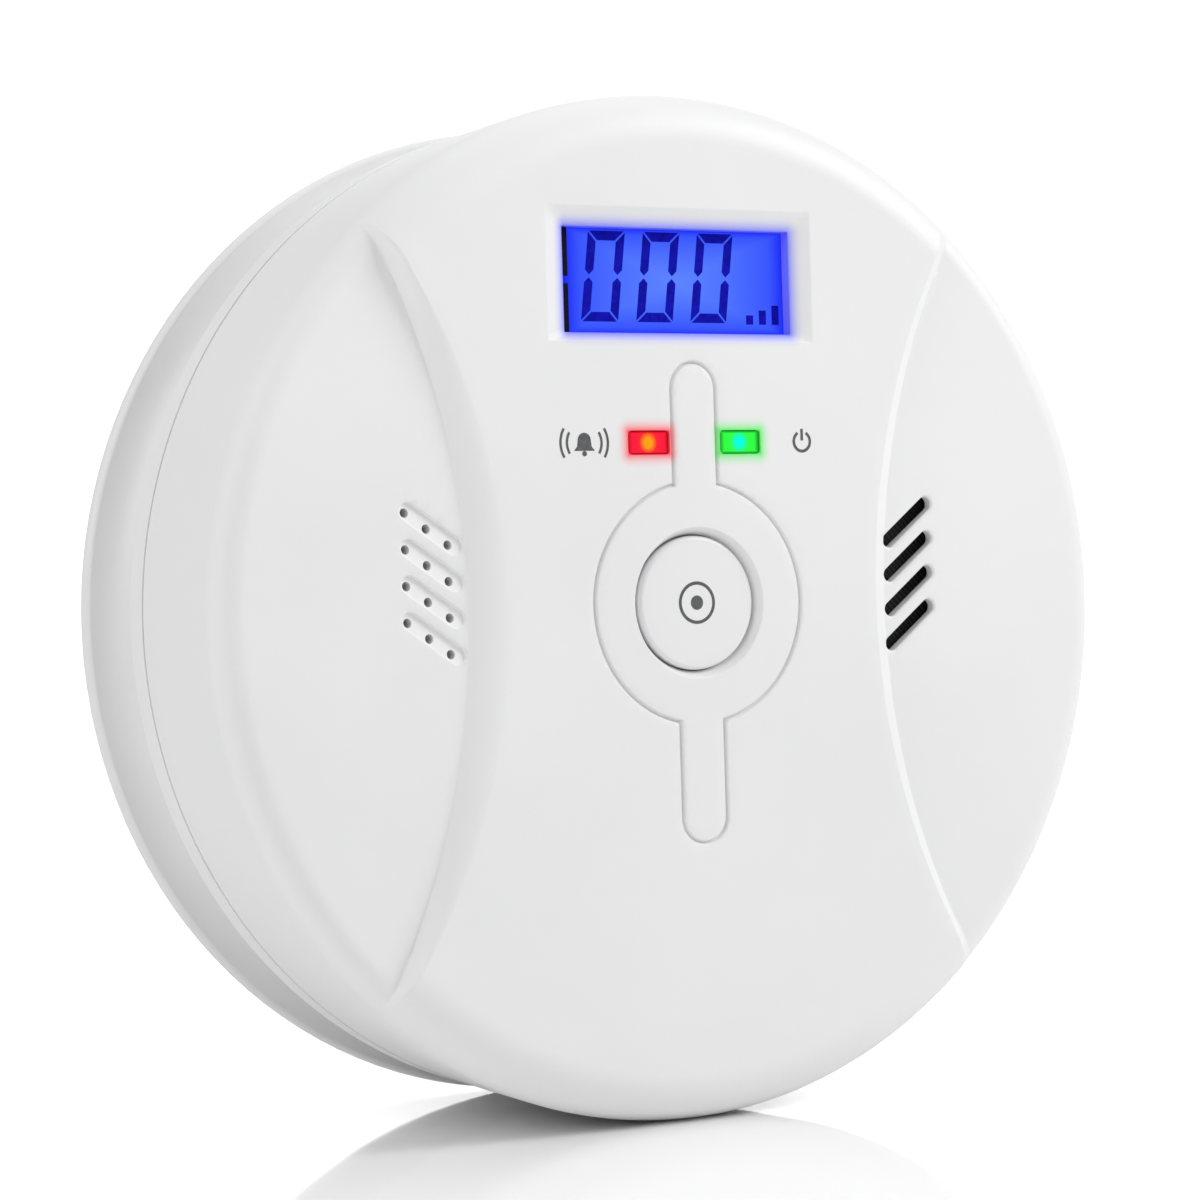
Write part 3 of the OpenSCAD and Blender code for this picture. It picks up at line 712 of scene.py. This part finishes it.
def glow_around(material, centre, reach):
    """1 at a face-up centre (across, up, depth), falling to 0 at reach millimetres along each axis."""
    where = add(material, "TexCoord").outputs["Object"]
    mapped = add(material, "Mapping", {"vector_type": "TEXTURE"},
                 {"Vector": where, "Location": (centre[0] * MM, -centre[2] * MM, centre[1] * MM),
                  "Scale": (reach[0] * MM, reach[2] * MM, reach[1] * MM)})
    return add(material, "TexGradient", {"gradient_type": "SPHERICAL"},
               {"Vector": mapped.outputs["Vector"]}).outputs["Fac"]


def off_centre(m, centre, half):
    """Distance from a face-up centre along each axis, in half sizes: 1 at the border of the box."""
    where = add(m, "TexCoord").outputs["Object"]
    moved = add(m, "VectorMath", {"operation": "SUBTRACT"},
                {0: where, 1: (centre[0] * MM, -centre[2] * MM, centre[1] * MM)}).outputs["Vector"]
    apart = add(m, "VectorMath", {"operation": "ABSOLUTE"}, {0: moved}).outputs["Vector"]
    return add(m, "VectorMath", {"operation": "DIVIDE"},
               {0: apart, 1: (half[0] * MM, half[2] * MM, half[1] * MM)}).outputs["Vector"]


def to_border(m, centre, half):
    """The largest of the two shares across and up: 0 in the middle of a box, 1 at its border."""
    parts = add(m, "SeparateXYZ", inputs={"Vector": off_centre(m, centre, half)})
    return add(m, "Math", {"operation": "MAXIMUM"},
               {0: parts.outputs["X"], 1: parts.outputs["Z"]}).outputs["Value"]


def painted_glow_past(m, centre, half, reach):
    """Share of painted light spill: 1 inside a box and on its border, falling to 0 at reach millimetres
    outside it, as the square of the rest."""
    apart = off_centre(m, centre, (1, 1, 1))
    beyond = add(m, "VectorMath", {"operation": "SUBTRACT"},
                 {0: apart, 1: (half[0], half[2], half[1])}).outputs["Vector"]
    beyond = add(m, "VectorMath", {"operation": "MAXIMUM"},
                 {0: beyond, 1: (0, 0, 0)}).outputs["Vector"]
    length = add(m, "VectorMath", {"operation": "LENGTH"}, {0: beyond}).outputs["Value"]
    rest = add(m, "MapRange",
               inputs={"Value": length, "From Max": reach, "To Min": 1.0, "To Max": 0.0})
    return add(m, "Math", {"operation": "POWER"}, {0: rest.outputs["Result"], 1: 2.0}).outputs["Value"]


# %% [markdown]
# ### Moulded plastic
# The case is ABS from a mould whose steel was spark-eroded: a fine, even grain of about 0.2 mm that turns a
# mirror into a satin sheen. The grain is drawn at 0.35 mm, a little coarser than real, so that it still shows
# at arm's length. A much larger, very faint cloud stands for uneven flow in the mould.

# %% Plastic, metal and special finishes


CLOUD_SIZE = 28


def grained(name, size_mm, detail, stretch=(1, 1, 1)):
    """A new finish, the place it is drawn from, and a grain of noise about size_mm across."""
    m = new_finish(name)
    where = add(m, "TexCoord").outputs["Object"]
    mapped = add(m, "Mapping", inputs={"Vector": where, "Scale": stretch}).outputs["Vector"]
    fine = add(m, "TexNoise", inputs={"Vector": mapped, "Scale": 1 / (size_mm * MM), "Detail": detail})
    return m, where, fine.outputs["Fac"]


def coloured(m, factor, stops):
    """The colour at a factor of a row of (place, hex) stops."""
    return add(m, "ValToRGB", {"stops": stops}, {"Fac": factor}).outputs["Color"]


def surfaced(m, colour, fine, height, strength, look):
    """The finish with its colour, its grain as a bump height millimetres high, and its other settings."""
    bump = add(m, "Bump", inputs={"Height": fine, "Distance": height * MM, "Strength": strength})
    look |= {"Base Color": colour, "Normal": bump.outputs["Normal"]}
    return close(m, add(m, "BsdfPrincipled", inputs=look).outputs["BSDF"])


def moulded(name, dark, light, roughness, grain=0.35, height=0.006, glows=()):
    """Moulded plastic: a faint cloud between two close colours, an uneven roughness, and painted glows of
    light.
    """
    m, where, fine = grained(name, grain, 3.0)
    cloud = add(m, "TexNoise", inputs={"Vector": where, "Scale": 1 / (CLOUD_SIZE * MM), "Detail": 2.0})
    rough = add(m, "MapRange", inputs={"Value": fine, "To Min": roughness - 0.05, "To Max": roughness + 0.06})
    colour = coloured(m, cloud.outputs["Fac"], [(0.3, dark), (0.7, light)])
    # painted light: near each lamp and the display the colour is mixed towards its tint, standing for light
    # spilling into the plastic
    for centre, half, reach, tint in glows:
        amount = painted_glow_past(m, centre, half, reach)
        colour = add(m, "Mix", {"data_type": "RGBA"}, {0: amount, 6: colour, 7: tint}).outputs[2]
    return surfaced(m, colour, fine, height, 1.0, {"Roughness": rough.outputs["Result"], "IOR": 1.53})


def metal(name, dark, light, roughness, grain=0.5, stretch=(1, 1, 1), height=0.002):
    """Metal: colour between two tones along its grain, and roughness that follows the same grain."""
    m, _, fine = grained(name, grain, 4.0, stretch)
    rough = add(m, "MapRange", inputs={"Value": fine, "To Min": roughness - 0.08, "To Max": roughness + 0.1})
    colour = coloured(m, fine, [(0.35, dark), (0.65, light)])
    return surfaced(m, colour, fine, height, 0.8, {"Roughness": rough.outputs["Result"], "Metallic": 1.0})


def printed(name, factor_of, stops, roughness=0.3, coat=0.3, shine=0.5):
    """A glossy printed or coated surface whose colour follows a factor made by factor_of(material, place)."""
    m, where, fine = grained(name, 0.6, 2.0)
    colour = coloured(m, factor_of(m, where), stops)
    look = {"Roughness": roughness, "IOR": 1.5, "Coat Weight": coat, "Coat Roughness": 0.08}
    return surfaced(m, colour, fine, 0.003, 0.6, look | {"Specular IOR Level": shine})


# a wave texture of scale 1 has one band in each 0.314 of its space
WAVE_LENGTH = 0.314


def waves(scale_mm, direction, distortion=0.0):
    """A factor of straight bands, one every scale_mm, across X, Y or Z."""
    def factor(m, where):
        scale = WAVE_LENGTH / (scale_mm * MM)
        return add(m, "TexWave", {"bands_direction": direction},
                   {"Vector": where, "Scale": scale, "Distortion": distortion}).outputs["Fac"]
    return factor


def specks(scale_mm):
    """A factor of fine irregular grains about scale_mm across."""
    def factor(m, where):
        return add(m, "TexVoronoi", inputs={"Vector": where, "Scale": 1 / (scale_mm * MM)}).outputs["Color"]
    return factor


# %% The finishes of this alarm
RED_AT, GREEN_AT = (LAMP_AT[0][0], LAMP_AT[0][1], BAND), (LAMP_AT[1][0], LAMP_AT[1][1], BAND)
# painted light: the red, green and blue glow of the lamps and the display is painted into the case colour
# round their windows
LAMP_PAINTED_GLOW = (LAMP_HALF[0] - 0.1, LAMP_HALF[1] - 0.1, 8)
DISPLAY_PAINTED_GLOW = (GLASS_HALF[0] - 0.25, GLASS_HALF[1] - 0.2, 8)
glows = ((RED_AT, LAMP_PAINTED_GLOW, 1.5, "#FF2840"), (GREEN_AT, LAMP_PAINTED_GLOW, 1.5, "#30EE48"),
         ((*GLASS_MID, BAND), DISPLAY_PAINTED_GLOW, 1.7, "#2038FF"))

# the spark-eroded grain scatters the light, so the white case shows broad soft tones and no hard highlight;
# its colour carries painted glow from the lamps and the display
white_case = moulded("white ABS, spark-eroded mould, painted lamp glow", "#E4E4E5", "#E8E8E8", 0.5, glows=glows)
# the plate and the rear shell come from a smoother mould and have a slightly tighter sheen
white_plate = moulded("white ABS, satin mould", "#E0E0E1", "#E5E5E5", 0.38)
# fingers polish the button's finer grain, so it is the brightest and smoothest of the three whites
white_button = moulded("white ABS, fine satin button", "#E6E6E7", "#EAEAEA", 0.33, grain=0.3, height=0.004)

FINISHES = {
    # a bluish, slightly cloudy mirror
    "zinc_steel": metal("bright zinc plate on steel", "#9A9DA3", "#C4C7CC", 0.28, grain=0.8),
    # copper tracks show through the lacquer as wandering bands of lighter green
    "board_green": printed("green solder resist", waves(2.1, "X", 3.0),
                           [(0.42, "#06381C"), (0.58, "#0B4A27")], 0.28),
    # short glass fibres in the nylon give a dull black with a fine tooth
    "black_plastic": moulded("black glass-filled nylon", "#141416", "#1B1B1D", 0.45, grain=0.25),
    # hot-dipped tin freezes into a bright, slightly uneven skin
    "tinned_copper": metal("bright tin on copper", "#B9B9B5", "#DADAD6", 0.2, grain=0.6),
    # a milky block that spreads the light of its diodes
    "diffuser_plastic": moulded("opal acrylic light block", "#CFD6E6", "#DCE2F0", 0.4, grain=0.5),
    # deep drawing leaves fine lines along the wall of the can
    "stainless_steel": metal("drawn stainless steel", "#9C9C9D", "#BEBEBF", 0.26, stretch=(1, 0.08, 1)),
    # rolling marks under the warm nickel run along the strip
    "nickel_plate": metal("nickel plated spring steel", "#A8A49A", "#CCC8BE", 0.22, grain=0.7,
                          stretch=(0.15, 1, 1)),
    # yellow metal with rolling marks
    "brass": metal("rolled brass", "#B58D3D", "#D2AC5A", 0.26, grain=0.6, stretch=(0.1, 1, 1)),
    # grains of 0.25 mm stand for the fired ceramic's finer ones
    "piezo_ceramic": printed("fired ceramic", specks(0.25), [(0.2, "#D8D2C4"), (0.8, "#E6E1D4")], 0.5),
    # soft glossy red with faint flow marks
    "lead_insulation": printed("red PVC insulation", specks(0.8), [(0.2, "#9E1014"), (0.8, "#B4161A")], 0.35),
    # black threads 0.35 mm apart, with a painted highlight that makes them a little lighter on top
    "black_screen": printed("woven dust screen", waves(0.35, "DIAGONAL"),
                            [(0.35, "#050506"), (0.75, "#2A2A2C")], 0.7),
    # a tight glossy dark sleeve with a copper-coloured band
    "cell_jacket": printed("printed shrink sleeve", waves(17, "Z"),
                           [(0.25, "#16181D"), (0.55, "#20242C"), (0.9, "#B8742C")], 0.25),
    # dark blue sleeve with the pale stripe that marks the negative side
    "capacitor_sleeve": printed("navy PVC sleeve", waves(8, "X"),
                                [(0.1, "#0A1030"), (0.93, "#0D153C"), (0.97, "#B9BEC8")], 0.3),
    # dark grey pressed powder with grains that barely show
    "ferrite": printed("pressed ferrite", specks(0.3), [(0.2, "#202124"), (0.8, "#2C2D31")], 0.6),
    # turns of wire 0.45 mm apart: a painted highlight of bright copper on top of each turn, and painted shade
    # dark in the gaps
    "enamelled_copper": printed("enamelled copper wire", waves(0.45, "Y"),
                                [(0.2, "#5A2410"), (0.8, "#B8612C")], 0.22),
}
slot_of = {part["node"]: part["material_slot"] for part in frame["record"]["subparts"]}
for node_name, node in frame["nodes"].items():
    finish = FINISHES.get(slot_of[node_name], white_plate)
    node.data.materials.clear()
    node.data.materials.append(finish)
print("finishes", len(FINISHES) + 3)

# %% [markdown]
# ## The cover, the housing's rim and the button
# The rear housing ends in a narrow straight rim with a soft rear edge, which catches a thin line of light
# above the shadow gap. The button is a turned cap in its own body, so it travels. Its face stops half a
# millimetre below the band and its rim is softened, which gives the thin light line round it.

# %% Make the cover and the button
front_shell = joined(shell, *posts, chamber, *display_frame)
make_piece("front_shell", front_shell, white_case, "alarm_unit", ["front_cover"])
rim_profile = eased([(48.9, 11.7), (49.46, 11.7), (49.46, 14.58), (48.9, 14.58)], [0, 0.28, 0.08, 0])
make_piece("housing_rim", turned(rim_profile, steps=360), white_case, "alarm_unit")
# a foot that meets the switch, a flange that holds the cap behind the cover, and the cap with its soft rim
BUTTON_TOP = 34.45
button_profile = eased([(0, 31.46), (1.6, 31.46), (1.6, 31.7), (7.6, 31.7), (7.6, 32.7), (BUTTON_R, 32.7),
                        (BUTTON_R, BUTTON_TOP), (0, BUTTON_TOP)], [0, 0.1, 0, 0.15, 0.15, 0.1, 0.55, 0])
button_cap = turned(button_profile, (0, MIDDLE), 160)
make_piece("button_cap", button_cap, white_button, "button", ["test_button"])

# %% [markdown]
# ## The display
# Behind the window is a liquid crystal cell, lit from behind by blue diodes: light in the middle and deeper
# blue at the edges. The digits are seven-segment figures. Each segment is a thin slab with mitred ends, and
# the whole figure leans seven degrees, as such figures do.

# %% Lit glass
GLASS_CENTRE = (-0.4, 31.5, POCKET)
lit = new_finish("backlit liquid crystal cell")
spot = to_border(lit, GLASS_CENTRE, (13.4, 5.5, 8))
blues = [(0.0, "#5C84FF"), (0.45, "#4C70FF"), (0.8, "#3856FF"), (0.94, "#1420F4")]
shade = coloured(lit, spot, blues)
fine = add(lit, "TexNoise", inputs={"Vector": add(lit, "TexCoord").outputs["Object"],
                                              "Scale": 1 / (3 * MM), "Detail": 2.0}).outputs["Fac"]
strength = add(lit, "MapRange", inputs={"Value": fine, "To Min": 0.94, "To Max": 1.04}).outputs["Result"]
close(lit, add(lit, "BsdfPrincipled", inputs={
    "Base Color": linear("#050516"), "Roughness": 0.12, "Specular IOR Level": 0.08, "Emission Color": shade,
    "Emission Strength": strength}).outputs["BSDF"])
glass_low, glass_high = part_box("lcd_glass")
x0, x1, z0, z1 = (v / MM for v in (glass_low.x, glass_high.x, glass_low.z, glass_high.z))
glass_outline = eased([(x0, z0), (x1, z0), (x1, z1), (x0, z1)], 0.5)
display_cell = slab(glass_outline, -glass_high.y / MM, -glass_low.y / MM - 0.02, 0.2)
make_piece("display_cell", display_cell, lit, "alarm_unit", ["lcd_glass"])

# %% Digits and small marks on the glass
DIGIT_AT = (-8.6, -2.45, 3.7)
DIGIT_HALF = (2.05, 4.35)
DIGIT_UP = 31.95
STROKE = 0.92
GAP = 0.14
LEAN = math.tan(math.radians(7))


def segments():
    """The six outlines of a zero in a box: two mitred bars and four posts that are pointed at mid-height."""
    w, h = DIGIT_HALF
    s = STROKE
    top = np.array([(-w + GAP, h), (-w + s + GAP, h - s), (w - s - GAP, h - s), (w - GAP, h)])
    post = np.array([(w, h - GAP), (w - s, h - s - GAP), (w - s, GAP + s / 2),
                     (w - s / 2, GAP), (w, GAP + s / 2)])
    both = [top, -top]
    for sx in (-1, 1):
        for sz in (-1, 1):
            both.append(post * (sx, sz))
    return both


def anticlockwise(outline):
    """The same outline, turned round if it runs clockwise: twice its area is the sum of x dz - z dx."""
    x, z = outline.T
    area = (x * np.roll(z, -1) - z * np.roll(x, -1)).sum()
    return outline if area > 0 else outline[::-1]


marks = []
for at in DIGIT_AT:
    for outline in segments():
        x, z = outline.T
        leaning = np.stack([x + (LEAN * z + at), z + DIGIT_UP], axis=1)
        marks.append(slab(anticlockwise(leaning), POCKET - 0.1, POCKET + 0.03))
# three bars that grow to the right
for i in range(3):
    low = (7.6 + 1.5 * i, 27.5)
    high = (low[0] + 0.8, low[1] + 0.9 + 0.5 * i)
    marks.append(slab(box_outline(low, high, 5), POCKET - 0.1, POCKET + 0.03))
# a dark crystal lets some of the blue backlight behind it through; that light is painted into the segments'
# colour, so they are deep blue, not black
ink = printed("dark liquid crystal segments", specks(0.5), [(0.2, "#0C0C98"), (0.8, "#1212AE")], 0.3, 0, 0.05)
make_piece("display_segments", joined(*marks), ink, "alarm_unit")

# dull black sealant shows as a strip at the left end
seal = printed("black display seal", specks(0.4), [(0.2, "#040410"), (0.8, "#080818")], 0.4, 0, 0.1)
SEAL = (((-15, 24.8), (-12.55, 31.2), 0.05), ((-15, 31.9), (-12.55, 38), 0.05),
        ((-15, 31.0), (-13.1, 32.1), 0.04))
strip = [slab(box_outline(low, high, 5), POCKET - 0.1, POCKET + proud) for low, high, proud in SEAL]
make_piece("display_seal", joined(*strip), seal, "alarm_unit")

# %% [markdown]
# ## The two lamps
# Each lamp is a flat-topped diode of tinted epoxy in a square-cut window. The die in the middle is the
# brightest point, and the tint deepens towards the edges, where the light is lost into the plastic.

# %% Lamps


def lamp_finish(name, centre, stops, deep):
    """Tinted epoxy that glows: bright at the die, its own tint over the lens, deep at the border."""
    m = new_finish(name)
    die = glow_around(m, centre, (1.5, 1.6, 6))
    border = to_border(m, centre, (2.27, 1.1, 6))
    edge = add(m, "MapRange", inputs={"Value": border, "From Min": 0.74, "From Max": 1.0}).outputs["Result"]
    bright = coloured(m, die, stops)
    colour = add(m, "Mix", {"data_type": "RGBA"}, {0: edge, 6: bright, 7: deep}).outputs[2]
    shader = add(m, "BsdfPrincipled", inputs={"Base Color": linear(deep), "Roughness": 0.15,
                                                        "Specular IOR Level": 0.15,
                                                        "Emission Color": colour, "Emission Strength": 1.0})
    return close(m, shader.outputs["BSDF"])


LAMPS = {
    "alarm_lamp": ("red_lens", "red tinted epoxy lamp", RED_AT, "red_lamp", "#7A0010",
                   [(0.0, "#FF1838"), (0.35, "#FF2430"), (0.55, "#FF7018"), (0.7, "#FFA000")]),
    "power_lamp": ("green_lens", "green tinted epoxy lamp", GREEN_AT, "green_lamp", "#006010",
                   [(0.0, "#30F840"), (0.35, "#30FF48"), (0.55, "#10FFA8"), (0.7, "#00FFE0")]),
}
for node_name, (piece_name, finish_name, centre, slot, deep, stops) in LAMPS.items():
    low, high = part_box(node_name)
    x0, x1, z0, z1 = (v / MM for v in (low.x, high.x, low.z, high.z))
    outline = eased([(x0, z0), (x1, z0), (x1, z1), (x0, z1)], 0.45)
    shape = slab(outline, -high.y / MM, -low.y / MM, 0.18)
    finish = lamp_finish(finish_name, centre, stops, deep)
    make_piece(piece_name, shape, finish, "alarm_unit", [node_name])

# %% [markdown]
# ## Printed symbols
# Plain symbols tell the two lamps and the button apart: a bell beside the red lamp, a power ring beside the
# green one, and a dot in a ring on the button. They are ink, so they lie only 0.015 mm proud.

# %% Bell, power ring and press mark
INK_T = 0.015
grey_ink = printed("grey pad-printed ink", specks(0.3), [(0.2, "#4C4C4E"), (0.8, "#58585A")], 0.5)


def band_arc(centre, radius, width, start, end, level, steps=40):
    """A flat arc of ink of a given width."""
    outer = arc(centre, radius + width / 2, start, end, steps)
    inner = arc(centre, radius - width / 2, end, start, steps)
    return slab(np.concatenate([outer, inner]), level - 0.05, level + INK_T)


BELL = (-12.4, 15.9)
skirt = [(1.15, -0.75), (0.8, -0.35)]
dome = np.concatenate([skirt, arc((0, 0.25), 0.72, 0, 180, 22), [(-x, z) for x, z in skirt[::-1]]])
clapper = circle((BELL[0], BELL[1] - 1.02), 0.26, 20)
bell = [slab(outline, BAND - 0.05, BAND + INK_T) for outline in (dome + BELL, clapper)]
for way in (0, 180):
    for radius in (1.9, 2.6):
        bell.append(band_arc(BELL, radius, 0.26, way - 32, way + 32, BAND))
POWER = (12.4, 15.9)
stroke = box_outline((POWER[0] - 0.15, POWER[1] + 0.1), (POWER[0] + 0.15, POWER[1] + 1.25), 5)
power = [band_arc(POWER, 0.95, 0.3, 120, 420, BAND), slab(stroke, BAND - 0.05, BAND + INK_T)]
make_piece("face_symbols", joined(*bell, *power), grey_ink, "alarm_unit")
PRESS = (0, MIDDLE)
dot = slab(circle(PRESS, 0.7, 28), BUTTON_TOP - 0.05, BUTTON_TOP + INK_T)
press = [dot, band_arc(PRESS, 1.9, 0.32, 0, 359.9, BUTTON_TOP, 64)]
make_piece("button_symbol", joined(*press), grey_ink, "button")

# %% [markdown]
# ## Camera, floor and light
# The camera stands level with the middle of the case, a little over thirty degrees to its left, and leans
# by less than two degrees. The floor is at the height of the lowest point, so the case stands on its rim.
# The key light is a soft box above and to the right, which brightens the slopes that face it. A weaker one
# fills the left side, one from above lights the table, one lights the backdrop, and a white room does the
# rest.

# %% Camera
CAMERA_AT = (-0.17759, -0.317, 0.00297)
YAW, PITCH, ROLL = (math.radians(v) for v in (30.542, -0.349, -1.726))
camera_data = bpy.data.cameras.new("camera")
camera_data.sensor_width = 36
camera_data.lens = 103.46
camera_data.clip_start = 0.01
camera = bpy.data.objects.new("camera", camera_data)
camera.matrix_world = (Matrix.Translation(CAMERA_AT) @ Matrix.Rotation(-YAW, 4, "Z")
                       @ Matrix.Rotation(math.pi / 2 + PITCH, 4, "X") @ Matrix.Rotation(ROLL, 4, "Z"))
scene.collection.objects.link(camera)
scene.camera = camera
print("camera", round(Vector(CAMERA_AT).length / MM), "mm from the wall plate's centre")

# %% Floor and backdrop in one sweep
FLOOR = cad_low.z
bend = np.linspace(0, np.pi / 2, 24)
REACH, RADIUS = 2.2, 0.8
curve = np.stack([REACH + RADIUS * np.sin(bend), RADIUS * (1 - np.cos(bend))], axis=1)
path = np.concatenate([[(-REACH, 0)], curve, [(REACH + RADIUS, 4)]])
across = np.array([-5.0, 5.0])
rise = np.tile(path[:, 1], 2) + FLOOR
sweep = np.stack([np.repeat(across, len(path)), np.tile(path[:, 0], 2), rise], axis=1)
index = np.arange(len(sweep)).reshape(2, -1)
faces = np.stack([index[0, :-1], index[1, :-1], index[1, 1:], index[0, 1:]], axis=1)
floor_mesh = bpy.data.meshes.new("studio_sweep")
floor_mesh.from_pydata(sweep.tolist(), [], faces.tolist())
floor_mesh.polygons.foreach_set("use_smooth", np.ones(len(faces), bool))
floor = bpy.data.objects.new("studio_sweep", floor_mesh)
floor.matrix_world = Matrix.Rotation(-YAW, 4, "Z")
scene.collection.objects.link(floor)
# a polished white sheet: nearly pure white, and a faint mirror for the case
table_top = new_finish("white acrylic table")
sheet = add(table_top, "BsdfPrincipled", inputs={"Base Color": "#FBFBFB", "Roughness": 0.06, "IOR": 1.45})
close(table_top, sheet.outputs["BSDF"])
floor_mesh.materials.append(table_top)
floor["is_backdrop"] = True

# %% Light
world = bpy.data.worlds.new("white room")
scene.world = world
world.use_nodes = True
world.node_tree.nodes["Background"].inputs["Color"].default_value = linear("#FFFFFF")
world.node_tree.nodes["Background"].inputs["Strength"].default_value = 0.5


def soft_box(name, place, aim, size, power):
    """A square area lamp at a place, turned towards a point."""
    light = bpy.data.lights.new(name, "AREA")
    light.size = size
    light.energy = power
    holder = bpy.data.objects.new(name, light)
    holder.location = place
    way = Vector(aim) - Vector(place)
    holder.rotation_euler = way.to_track_quat("-Z", "Y").to_euler()
    scene.collection.objects.link(holder)


soft_box("key", (0.75, -0.5, 0.6), (0, 0, 0), 0.5, 7.0)
soft_box("top", (0.1, 0.5, 1.2), (0, 0, 0), 1.0, 2.6)
soft_box("fill", (-0.85, -0.2, 0.55), (0, 0, 0), 0.8, 3.8)
backdrop_way = floor.matrix_world
soft_box("backdrop", backdrop_way @ Vector((0, 1.6, 1.0)), backdrop_way @ Vector((0, 3.0, 0.0)), 1.5, 30)
scene.view_settings.view_transform = "Standard"

# %% Measure the visual model's box and finish
low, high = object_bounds()
print("visual model", [round(v / MM, 2) for v in high - low], "mm")
